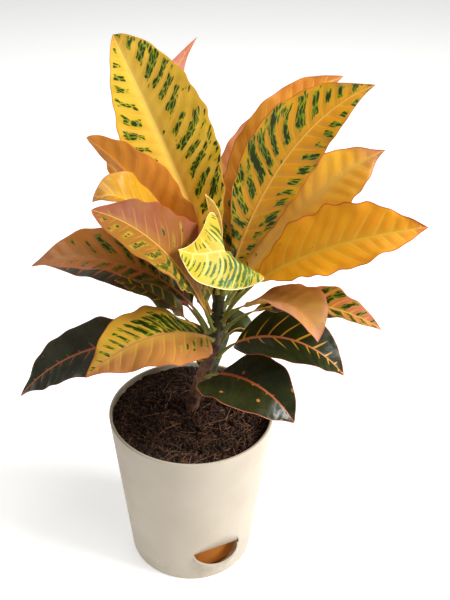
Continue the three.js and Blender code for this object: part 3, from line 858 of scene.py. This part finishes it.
# %% Fixed sizes of every leaf
GAP = 0.3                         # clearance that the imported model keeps
PETIOLE_RADIUS = 1.5
PETIOLE_TAPER = 0.35
BLADE_OPENING = 0.12
MARGIN_WAVES = 3
STATIONS = 132                    # steps from the stalk's foot to the tip
RIB_PITCH = 10.5                  # mm between two side ribs
RIB_RISE = 0.6                    # how far a rib runs forward for each mm outward
QUILT = 0.22                      # mm that the blade swells between two ribs
SHARES = np.array([0, 0.012, 0.03, 0.055, 0.09, 0.14, 0.2, 0.27, 0.34, 0.41, 0.48, 0.55, 0.62,
                   0.69, 0.76, 0.83, 0.89, 0.94, 0.975, 0.994, 1])
ACROSS = np.concatenate([-SHARES[:0:-1], SHARES])          # left margin to right margin
RING = np.concatenate([ACROSS, ACROSS[-2:0:-1]])           # over the top and back below
ON_TOP = np.arange(len(RING)) < len(ACROSS)


def hollow(distance, width):
    """A round bell, 1 at distance 0, for cords and valleys."""
    return np.exp(-(distance / width) ** 2)


print(len(RING), "points round a leaf's section")


# %% The midrib
def midrib_points(leaf):
    """The four points of the midrib's curve, and the way out of the stem."""
    lift, arch, tip = (np.array(leaf[key], float) for key in ("lift", "arch", "tip"))
    stem = stem_centre(leaf["node"])
    outward = lift - stem
    rise = math.atan2(outward[2], math.hypot(outward[0], outward[1]))
    outward[2] = 0
    outward = unit(outward)
    clear = stem_radius(leaf["node"]) + 1.8 * GAP + PETIOLE_RADIUS * math.sin(max(rise, 0))
    return np.array([stem + outward * clear, lift, arch, tip]), outward


def curve_at(points, u):
    """Points and directions on a cubic curve."""
    u = u[:, None]
    p0, p1, p2, p3 = points
    v = 1 - u
    place = v ** 3 * p0 + 3 * v * v * u * p1 + 3 * v * u * u * p2 + u ** 3 * p3
    along = 3 * v * v * (p1 - p0) + 6 * v * u * (p2 - p1) + 3 * u * u * (p3 - p2)
    return place, unit(along)


# %% The sweep
def leaf_shape(leaf, seed):
    """Rings of points of one leaf, and the maps' values at each point."""
    points, outward = midrib_points(leaf)
    u = np.linspace(0, 1, STATIONS + 1)
    centre, along = curve_at(points, np.clip(u, 1e-4, 1 - 1e-4))
    level = points[3] - points[0]
    level[2] = 0
    level_side = np.cross(unit(level), (0, 0, 1))
    side = unit(level_side - (along @ level_side)[:, None] * along)
    normal = np.cross(side, along)
    roll = np.radians(np.interp(u, (0, 1), leaf["roll"]))[:, None]
    side = unit(side * np.cos(roll) + normal * np.sin(roll))
    normal = np.cross(side, along)

    steps = np.linalg.norm(np.diff(centre, axis=0), axis=1)
    travelled = np.concatenate([[0], np.cumsum(steps)])
    petiole = leaf["petiole"]
    blade = (u - petiole) / (1 - petiole)
    along_mm = travelled - np.interp(petiole, u, travelled)
    in_blade = np.clip(blade, 0, 1)
    opened = smooth_step(u, 0.75 * petiole, 0.75 * petiole + BLADE_OPENING)
    stalk = PETIOLE_RADIUS * (1 - PETIOLE_TAPER * np.clip(u / petiole, 0, 1))

    share = np.abs(RING)
    hand = (RING > 0).astype(int)
    sign = np.where(hand, 1.0, -1.0)
    rows = np.ones((len(u), 1))

    def by_hand(values):
        return np.where(hand, values[1], values[0])[None, :] * rows

    climb = by_hand(np.log(0.5) / np.log(np.array(leaf["peak"], float)))
    outline = by_hand(leaf["half"]) * np.sin(np.pi * in_blade[:, None] ** climb).clip(0) \
        ** by_hand(leaf["full"])
    notch = 0.018 * np.sin(along_mm[:, None] / 4.3 + seed + 2 * hand) \
        + 0.014 * np.sin(along_mm[:, None] / 2.1 + 3 * seed + hand)
    outline = outline * (1 + notch * leaf["ragged"] * smooth_step(outline, 3, 12))
    outline = outline * (1 - leaf["drip"] * smooth_step(in_blade[:, None], 0.84, 1))
    reach = outline * share
    slope = np.radians(by_hand(leaf["fold"]) + by_hand(leaf["curl"]) * share / 2)
    wave = leaf["wave"] * np.sin(2 * np.pi * MARGIN_WAVES * in_blade[:, None]
                                 + np.where(hand, 0, 1.9)) * share ** 2 * np.clip(reach / 8, 0, 1)
    lean = np.radians(np.where(hand, np.interp(in_blade, (0, 1), leaf["fan"][1])[:, None],
                               np.interp(in_blade, (0, 1), leaf["fan"][0])[:, None]))

    widest = max(leaf["half"])
    ribs = (along_mm[:, None] - RIB_RISE * reach - 0.25 * reach ** 2 / widest) / RIB_PITCH \
        + np.where(hand, 0, 0.5)
    ribs += 0.16 * np.sin(along_mm[:, None] / 7.9 + 1.7 * hand + seed) \
        + 0.12 * np.sin(reach / 5.3 + along_mm[:, None] / 12.1 + 2 * seed) * share
    size = np.clip(outline / 12, 0, 1)
    inner = smooth_step(share, 0.02, 0.22) * (1 - smooth_step(share, 0.8, 1))
    quilt = -QUILT * np.cos(2 * np.pi * ribs) * inner * size
    frill = 0.55 * np.sin(along_mm[:, None] / 2.9 + 2.3 * hand + seed) \
        * smooth_step(share, 0.62, 1) * size * min(1, leaf["wave"])
    cord = 1.15 * (1 - in_blade[:, None]) ** 0.8 + 0.15
    midrib_top = 0.3 * cord * hollow(reach, 0.8) - 0.45 * cord * hollow(reach, 2.6)
    midrib_low = -0.9 * cord * hollow(reach, 1.3 * cord) - 0.4 * cord * hollow(reach, 2.6)
    half_thick = (0.3 - 0.14 * share) * np.sqrt(np.clip((outline - reach) / 0.3, 0, 1))
    skin = np.where(ON_TOP, half_thick, -half_thick)
    midrib_relief = np.where(ON_TOP, midrib_top, midrib_low) * smooth_step(opened[:, None], 0.6, 1)
    relief = quilt + frill + midrib_relief

    flat = (side[:, None] * (sign * reach * np.cos(slope) * np.cos(lean))[..., None]
            - along[:, None] * (reach * np.cos(slope) * np.sin(lean))[..., None]
            + normal[:, None] * (reach * np.sin(slope) + wave + skin + relief)[..., None])
    turn = np.pi * (1 - np.arange(len(RING)) / (len(ACROSS) - 1))
    round_ = (side[:, None] * (stalk[:, None] * np.cos(turn))[..., None]
              + normal[:, None] * (stalk[:, None] * np.sin(turn))[..., None])
    opened = opened[:, None, None]
    rings = centre[:, None] + round_ * (1 - opened) + flat * opened
    rings[-1] = centre[-1]

    maps = {
        "blade": (along_mm[:, None] + 0 * reach, sign * reach),
        "ribs": (ribs, RING[None, :] * rows),
        "edge": (outline - reach, blade[:, None] + 0 * reach),
    }
    return rings, maps, outward, travelled[-1]


print("a leaf has", (STATIONS + 1) * len(RING), "points")


# %% Build a leaf's mesh
SWELLING = ((-3.2, 1.9), (-1.6, 2.3), (0.4, 2.15))         # mm along the stalk, radius


def build_leaf(name, leaf, seed):
    """One leaf as a closed mesh with its maps, from a swollen foot in the stem to its tip."""
    rings, maps, outward, length = leaf_shape(leaf, seed)
    foot = rings[0].mean(0)
    section = (rings[0] - foot) / PETIOLE_RADIUS
    swollen = [foot + outward * place + section * radius for place, radius in SWELLING]
    rings = np.concatenate([np.array(swollen), rings[3:]])
    values = {}
    for key, (first, second) in maps.items():
        first, second = (np.concatenate([v[:1], v[:1], v[:1], v[3:]]) for v in (first, second))
        values[key] = np.stack([first, second], -1).reshape(-1, 2)
    piece = make_mesh(name, rings.reshape(-1, 3), tube_faces(len(rings), len(RING)))
    mesh = piece.data
    corner = np.zeros(len(mesh.loops), int)
    mesh.loops.foreach_get("vertex_index", corner)
    for key, value in values.items():
        layer = mesh.uv_layers.new(name=key)
        layer.data.foreach_set("uv", value[corner].astype(np.float32).ravel())
    below = mesh.attributes.new("underside", "FLOAT", "POINT")
    flags = np.tile(1.0 - ON_TOP, len(rings)).astype(np.float32)
    below.data.foreach_set("value", flags)
    mesh.flip_normals()
    return piece, length


# %% [markdown]
# ## The leaf's finish
# A croton's blade is a waxy skin over a coloured sheet. In a young leaf the ground is
# yellow and the green stands in short rungs between the side ribs, like a ladder; in an
# old one green has filled the blade, and only ribs and midrib keep their yellow, orange
# or pink. A noise pattern alone would give camouflage blotches that know nothing of the
# ribs. The real pattern follows the veins at two sizes, and so does the recipe:
#
# - Midway between two ribs lies a rung. White noise gives each rung its own width, and
#   its own start and end on the way from midrib to margin.
# - The net of small veins cuts the blade into cells of about 2.6 by 3.7 mm. The finest
#   veins of a real blade are too small to show, so they are left out. Each cell has its
#   luck, and turns green when rung, clouds and the leaf's own share of green outweigh
#   it. The vein between two cells stays light, until thick green covers it.
#
# Round the greens the ground turns a little lime. Ribs, midrib and margin are painted
# over it. Wax makes the skin half glossy, with the index of refraction of plant wax,
# about 1.45, and the underside is duller and paler.
#
# The looks are told in these words. `foot_green` and `tip_green` are shares of green at
# the blade's ends: 0 is bare, 0.5 a ladder of broken rungs, 1 all green. `sides` adds to
# them left and right, and `edge_green` near the margin. `rungs_from` is the share of the
# way to the margin at which rungs start, `ladder` is the number of rungs between two
# ribs, and `drawn_out` stretches the cells. `ground`, `drift`, `near` (by the midrib) and
# `tip` are the sheet's colours, and `tints` lays one over a half. A rib fades out at
# `rib_reach`. `rough` is the skin's roughness, and `shine` how strongly it reflects.

# %% Looks of the leaves
PLAIN_LOOK = dict(
    ground="#e2a32a", drift="#d89a26", tip="#d8924e", tip_from=0.85, near="#e6b23c",
    green="#2e3e00", deep="#222e00", fringe="#5c7c06", lime="#c9b02c", halo=0.5,
    foot_green=0.0, tip_green=0.0, edge_green=0.42, sides=(0.0, 0.0),
    tints=(None, None), ladder=1.0, rungs_from=(0.19, 0.19), drawn_out=1.0,
    rib="#ecbb48", rib_width=0.8, rib_reach=(1.1, 1.1), rib_show=0.45,
    midrib="#e0aa58", midrib_width=0.9, margin="#b8502e", margin_width=0.8,
    stalk="#84883a", under="#b08a3a", under_show=0.35, rough=0.38, shine=0.32, spots=0)
print("a plain look has", len(PLAIN_LOOK), "values")

LOOKS = dict(
    top_left=dict(ground="#e8ba38", drift="#dcaa28", tip="#c99624", near="#ecc24c", tip_from=0.92,
                  foot_green=0.5, tip_green=0.4, sides=(-0.08, 0.04), rib="#ecc24c",
                  rungs_from=(0.3, 0.3), drawn_out=1.3,
                  midrib="#e8c870", midrib_width=0.6, margin="#c08438", lime="#c4ac20"),
    back_top=dict(ground="#d8947c", drift="#d89080", tip="#c96a5a", near="#dca27c"),
    left_upper=dict(ground="#c47a20", drift="#c0702c", tip="#c07850", near="#cc8824", rib="#d09c44",
                    midrib="#d09460", under="#d48626", under_show=0.7, rough=0.45),
    left_mid=dict(ground="#8c5420", drift="#8c4c28", tip="#985430", near="#986424", rough=0.55,
                  foot_green=0.95, tip_green=-0.1, sides=(0.2, -0.32), rib="#b47c34",
                  rib_show=0.5, rib_reach=(0.7, 0.8), tints=(("#96681c", 0.85), None),
                  midrib="#c8983c", margin="#a8452c", green="#39420e", deep="#2c340a",
                  fringe="#5c6418"),
    left_mid_behind=dict(ground="#c4901c", drift="#bc841c", tip="#c08058", near="#c89828",
                         rough=0.3),
    left_long=dict(ground="#c07c34", drift="#b87034", tip="#b8784c", near="#c0883c",
                   foot_green=1.25, tip_green=-0.2, rib="#c88c48", rib_show=0.6,
                   midrib="#c07a52", midrib_width=1.2,
                   margin="#b0583a", green="#3d4420", deep="#2e3614", lime="#90782c"),
    left_under=dict(ground="#b06a4c", drift="#b8784c", tip="#b06a4c", near="#b06a4c",
                    foot_green=1.0, tip_green=1.05, green="#5c6046", deep="#4c523a",
                    fringe="#4c4c2c", halo=0.0, rib="#c0704e", rib_show=1.0, rib_width=1.4,
                    midrib="#b8684a", midrib_width=1.4, margin="#b0604a", margin_width=1.4),
    left_green=dict(foot_green=2, tip_green=2, green="#6c6c34", deep="#54582c", rib="#c0b03a",
                    rib_reach=(0.9, 0.9), rib_width=1.1, rib_show=1.0, midrib="#b0684a",
                    midrib_width=1.3, margin="#b86c50", margin_width=1.2),
    left_front=dict(ground="#dcac34", drift="#d4a03c", tip="#cc8848", near="#d8a844",
                    foot_green=0.86, tip_green=0.02, sides=(-0.3, 0.26), midrib="#d0885c",
                    rungs_from=(0.3, 0.08), drawn_out=1.8, edge_green=-0.9,
                    tints=(("#c07c48", 0.8), None), ladder=1.6, margin="#b85c38",
                    margin_width=1.1, green="#2c4208"),
    left_dark_low=dict(foot_green=2, tip_green=2, spots=0.6, green="#4c4e3c", deep="#3c3e2c", rib="#c87c48",
                       rib_reach=(0.5, 0.3), rib_width=0.8, rib_show=0.8, midrib="#d8825a",
                       midrib_width=1.7, margin="#9c5434", margin_width=1.1, rough=0.3, shine=0.5),
    right_top=dict(ground="#cc8a10", drift="#c48410", tip="#cc941c", near="#cc8e12",
                   foot_green=0.58, tip_green=0.42, sides=(0.06, 0.0), rib="#dca22c",
                   rungs_from=(0.24, 0.52), drawn_out=1.7,
                   midrib="#dca850", midrib_width=0.6, lime="#a8981c"),
    right_top_behind=dict(ground="#d08c2c", drift="#cc802c", tip="#c07448", margin="#b5533a",
                          tip_from=0.92, foot_green=0.95, tip_green=-1.6),
    back_centre=dict(ground="#d08a58", drift="#cc8450", foot_green=0.65, tip_green=-0.4),
    right_upper=dict(ground="#f6b834", drift="#f0ac30", tip="#cf8a62", near="#f2b848",
                     foot_green=0.2, tip_green=-0.3, rib="#f4c058", margin="#bc5030", margin_width=1.3,
                     tip_from=0.82, midrib="#f0c452", rough=0.3, shine=0.6),
    right_low_big=dict(ground="#f4aa20", drift="#ec9c20", tip="#c87a3c", near="#e8ac2c",
                       foot_green=0.1, tip_green=-0.3, rib="#eeb83c", rib_show=0.75,
                       margin="#b84a28", margin_width=1.5, tip_from=0.88, midrib="#ecb83c",
                       rib_width=1.0),
    young_folded=dict(ground="#d4a828", drift="#d6b040", tip="#dcb848", near="#d2ae3c",
                      foot_green=0.72, tip_green=0.3, sides=(0.05, -0.2), green="#4c6c18",
                      deep="#3a5a14", fringe="#6c8a24", lime="#c8c040", ladder=3.0, drawn_out=3.0,
                      rib="#f6e088", midrib="#d8d070", margin="#f6ecc0",
                      under="#f5d760", under_show=0.1, rough=0.45),
    young_rolled=dict(ground="#b8782c", drift="#a86a2c", tip="#c08030", near="#c08a3c",
                      foot_green=0.35, tip_green=0.35, margin="#ecdc80", under="#d8a840"),
    right_folded=dict(ground="#b8805a", drift="#b08038", tip="#c4846a", near="#b48438",
                      rib="#a86c44", rib_show=0.3, midrib="#b87850", margin="#b85a44", rough=0.5),
    right_spotted=dict(ground="#c87452", drift="#c47040", tip="#cc7c60", near="#c08038",
                       foot_green=0.95, tip_green=0.42, drawn_out=1.6, green="#2c3808",
                       deep="#222c08", sides=(-0.12, 0.05), rungs_from=(0.1, 0.1),
                       margin="#cf6a4c", lime="#a8a030"),
    right_back_green=dict(foot_green=2, tip_green=2, green="#3a4410", rib="#d0a030", rib_show=0.9,
                          midrib="#c07858"),
    right_green_big=dict(foot_green=2, tip_green=2, green="#2a3408", deep="#202808", rib="#dfa42e",
                         rib_show=1.0, rib_width=0.8, rib_reach=(0.85, 0.6), midrib="#d88450",
                         midrib_width=1.6, tip="#c86a50", tip_from=0.8, margin="#b8553c",
                         margin_width=1.2),
    right_low_dark=dict(foot_green=2, tip_green=2, spots=1.5, green="#2a3010", deep="#20260a", rib="#b8763a",
                        rib_reach=(0.12, 0.12), rib_show=0.7, midrib="#b86038", midrib_width=1.5,
                        margin="#b86038", margin_width=1.1, rough=0.3, shine=0.5),
    right_hidden_green=dict(foot_green=2, tip_green=2, spots=0.7, rib_reach=(0.2, 0.2), margin="#b8b060",
                            under="#3a4420", under_show=0.8,
                            green="#38421a", deep="#2a3410"),
    back_hanging=dict(foot_green=2, tip_green=2, green="#262c0c", rib_reach=(0.2, 0.2),
                      under="#3a4420", under_show=0.8),
    back_left=dict(foot_green=0.55, tip_green=0.4),
    back_right=dict(foot_green=0.6, tip_green=0.45),
    back_mid=dict(foot_green=0.65, tip_green=0.45, ground="#d2903c"),
    left_back=dict(ground="#b8742c", drift="#a8682c", foot_green=0.3, tip_green=0.1),
    back_left_low=dict(foot_green=2, tip_green=2, rib="#b88a38"),
    back_right_low=dict(foot_green=2, tip_green=2, rib="#b88a38"),
)
print(len(LOOKS), "of", len(LEAVES), "leaves have a look of their own")


# %% Leaf material
CELL = (2.6, 3.7)                 # mm across and along a rib: one cell of the vein net


def leaf_finish(name, look, seed):
    """The waxy skin of one leaf."""
    material, tree = new_material(name + " skin")

    def mix(share, under, over):
        return blend(tree, share, under, over)

    def ramp(value, low, high, at_low=0.0, at_high=1.0, kind="SMOOTHSTEP"):
        return graded(tree, value, low, high, at_low, at_high, kind)

    def math_of(operation, first, second=0.0, third=0.0):
        return node(tree, "Math", {0: first, 1: second, 2: third}, operation=operation)

    blade_mm = node(tree, "UVMap", uv_map="blade")
    place = node(tree, "VectorMath", {0: blade_mm, 1: (seed * 37.0, seed * 11.0, seed)},
                 operation="ADD")
    phase, share = node(tree, "SeparateXYZ", {0: node(tree, "UVMap", uv_map="ribs")}, ["X", "Y"])
    from_margin, length = node(tree, "SeparateXYZ", {0: node(tree, "UVMap", uv_map="edge")},
                               ["X", "Y"])
    across = math_of("ABSOLUTE", node(tree, "SeparateXYZ", {0: blade_mm}, "Y"))
    away = math_of("ABSOLUTE", share)
    side_mark = math_of("SIGN", share)
    beside = math_of("PINGPONG", phase, 0.5)
    step = math_of("MULTIPLY", phase, look["ladder"])
    clouds = node(tree, "TexNoise", {"Vector": place, "Scale": 1 / 13, "Detail": 2.0}, "Fac")
    drift = node(tree, "TexNoise", {"Vector": place, "Scale": 1 / 26, "Detail": 3.0}, "Fac")
    grain = node(tree, "TexNoise", {"Vector": place, "Scale": 1 / 1.6, "Detail": 3.0}, "Fac")

    # a ladder's rung lies midway between two ribs, from near the midrib to near the margin
    rung = node(tree, "CombineXYZ", {"X": math_of("FLOOR", step), "Y": side_mark, "Z": seed})
    luck = node(tree, "TexWhiteNoise", {"Vector": rung}, "Color")
    luck_start, luck_end, luck_width = node(tree, "SeparateXYZ", {0: luck}, ["X", "Y", "Z"])
    half_width = ramp(luck_width, 0, 1, 0.3, 0.18, "LINEAR")
    lane = math_of("MULTIPLY", math_of("SUBTRACT", math_of("PINGPONG", step, 0.5), half_width), 7.0)
    left, right = look["rungs_from"]
    first = math_of("ADD", ramp(luck_start, 0, 1, -0.06, 0.06, "LINEAR"),
                    ramp(share, -0.05, 0.05, left, right))
    start = math_of("SUBTRACT", away, first)
    end = math_of("SUBTRACT", ramp(luck_end, 0, 1, 0.66, 0.95, "LINEAR"), away)
    rung_here = math_of("MINIMUM", lane, math_of("MINIMUM", math_of("MULTIPLY", start, 12.0),
                                                 math_of("MULTIPLY", end, 6.0)))
    rung_here = math_of("MAXIMUM", math_of("MINIMUM", rung_here, 1.0), -0.7)

    # the net of fine veins breaks the green into cells, and each cell has its own luck
    cell_long, cell_wide = CELL[1] * look["drawn_out"], CELL[0]
    wander = node(tree, "TexNoise", {"Vector": place, "Scale": 1 / 3.0, "Detail": 1.0}, "Fac")
    row = math_of("MULTIPLY_ADD", phase, RIB_PITCH / cell_wide, math_of("MULTIPLY", side_mark, 40.3))
    cell_at = node(tree, "CombineXYZ", {
        "X": math_of("MULTIPLY_ADD", wander, 1.2, row),
        "Y": math_of("MULTIPLY_ADD", across, 1 / cell_long, 11 * seed)})
    cells = {"Vector": cell_at, "Scale": 1.0, "Randomness": 0.85}
    cell_luck = node(tree, "SeparateXYZ", {
        0: node(tree, "TexVoronoi", cells, "Color", voronoi_dimensions="2D")}, "X")
    to_line = node(tree, "TexVoronoi", cells, "Distance", voronoi_dimensions="2D",
                   feature="DISTANCE_TO_EDGE")
    left, right = look["sides"]
    cover = math_of("ADD", ramp(length, 0, 1, look["foot_green"], look["tip_green"], "LINEAR"),
                    ramp(share, -0.1, 0.1, left, right))
    chance = math_of("MULTIPLY_ADD", rung_here, 0.9, math_of("MULTIPLY_ADD", cover, 3.0, -1.0))
    chance = math_of("MULTIPLY_ADD", math_of("SUBTRACT", clouds, 0.5), 1.4, chance)
    chance = math_of("ADD", chance, ramp(away, 0.6, 0.8, 0.0, look["edge_green"]))
    chance = math_of("SUBTRACT", chance, ramp(away, 0.93, 1.0, 0.0, 0.5))
    total = math_of("SUBTRACT", chance, cell_luck)
    total = math_of("MULTIPLY_ADD", math_of("SUBTRACT", grain, 0.5), 0.3, total)
    in_cell = math_of("MULTIPLY_ADD", ramp(total, -0.3, 0.6), 0.15, to_line)
    in_cell = math_of("ADD", in_cell, ramp(chance, 1.3, 2.2, 0.0, 0.5))
    in_cell = math_of("MULTIPLY_ADD", math_of("SUBTRACT", grain, 0.5), 0.1, in_cell)
    green_here = math_of("MULTIPLY", ramp(total, -0.1, 0.1), ramp(in_cell, 0.1, 0.24))
    core_here = math_of("MULTIPLY", green_here, ramp(in_cell, 0.24, 0.4))
    halo = ramp(chance, -0.3, 0.8, 0.0, look["halo"])

    colour = mix(ramp(drift, 0.4, 0.62), paint(look["ground"]), paint(look["drift"]))
    for side, tint in zip((-1.0, 1.0), look["tints"]):
        if tint:
            here = ramp(math_of("MULTIPLY", share, side), 0.0, 0.12, 0.0, tint[1])
            colour = mix(here, colour, paint(tint[0]))
    colour = mix(ramp(away, 0.05, 0.35, 0.9, 0.0), colour, paint(look["near"]))
    colour = mix(ramp(length, look["tip_from"], 1.0), colour, paint(look["tip"]))
    colour = mix(halo, colour, paint(look["lime"]))
    colour = mix(green_here, colour, paint(look["fringe"]))
    green = mix(ramp(clouds, 0.35, 0.65), paint(look["green"]), paint(look["deep"]))
    colour = mix(core_here, colour, green)

    rib_at = node(tree, "CombineXYZ", {"X": math_of("ROUND", phase), "Y": side_mark, "Z": seed})
    rib_luck = node(tree, "TexWhiteNoise", {"Vector": rib_at}, "Value")
    left_reach, right_reach = look["rib_reach"]
    reach = math_of("MULTIPLY", ramp(share, -0.05, 0.05, left_reach, right_reach),
                    ramp(rib_luck, 0, 1, 0.6, 1.15, "LINEAR"))
    gone = math_of("POWER", math_of("DIVIDE", away, reach), 2.5)
    width = math_of("MULTIPLY_ADD", gone, -0.3 - look["rib_width"], look["rib_width"])
    inside = math_of("SUBTRACT", width, math_of("MULTIPLY", beside, RIB_PITCH))
    rib_here = ramp(inside, -0.2, 0.3, 0.0, look["rib_show"])
    colour = mix(rib_here, colour, paint(look["rib"]))
    if look["spots"]:
        spots = {"Vector": place, "Scale": 1 / 11}
        near, luck = node(tree, "TexVoronoi", spots, ["Distance", "Color"], voronoi_dimensions="2D")
        lucky = ramp(node(tree, "SeparateXYZ", {0: luck}, "X"), 0.84, 0.86)
        round_here = ramp(near, look["spots"] / 15, look["spots"] / 11, 1.0, 0.0)
        colour = mix(math_of("MULTIPLY", lucky, round_here), colour, paint(look["rib"]))
    midrib_half = ramp(length, 0, 1, look["midrib_width"], 0.25, "LINEAR")
    midrib_here = ramp(math_of("SUBTRACT", midrib_half, across), -0.25, 0.2)
    colour = mix(midrib_here, colour, paint(look["midrib"]))
    colour = mix(ramp(from_margin, 0.1, look["margin_width"], 1.0, 0.0), colour,
                 paint(look["margin"]))
    colour = mix(ramp(length, -0.06, 0.03, 1.0, 0.0), colour, paint(look["stalk"]))
    below = node(tree, "Attribute", output="Fac", attribute_name="underside")
    colour = mix(math_of("MULTIPLY", below, look["under_show"]), colour, paint(look["under"]))

    net = math_of("MINIMUM", to_line, 0.3)
    height = math_of("MULTIPLY_ADD", rib_here, 0.5, net)
    bumps = node(tree, "Bump", {"Height": height, "Strength": 0.22, "Distance": 0.0004})
    rough = look["rough"]
    roughness = math_of("MULTIPLY_ADD", below, 0.14, ramp(grain, 0, 1, rough - 0.08, rough + 0.1))
    surface = node(tree, "BsdfPrincipled", {
        "Base Color": colour, "Roughness": roughness, "IOR": 1.45, "Normal": bumps,
        "Specular IOR Level": look["shine"],
        "Subsurface Weight": 0.12, "Subsurface Radius": (1.0, 0.7, 0.25),
        "Subsurface Scale": 0.001})
    node(tree, "OutputMaterial", {"Surface": surface})
    return material


SLOT_OF = {piece["node"]: piece["material_slot"] for piece in frame["record"]["subparts"]}
for number, (name, sizes) in enumerate(LEAVES.items()):
    leaf = {**PLAIN_LEAF, **sizes}
    seed = 1.0 + 0.73 * number
    piece, length = build_leaf(name + "_leaf", leaf, seed)
    look = {**PLAIN_LOOK, **LOOKS.get(name, {})}
    piece.data.materials.append(leaf_finish(name, look, seed))
    cad_name = "leaf_" + name
    settle(piece, SLOT_OF[cad_name], cad_name)
    print(f"{name}: {length:.0f} mm, {len(piece.data.polygons)} faces")
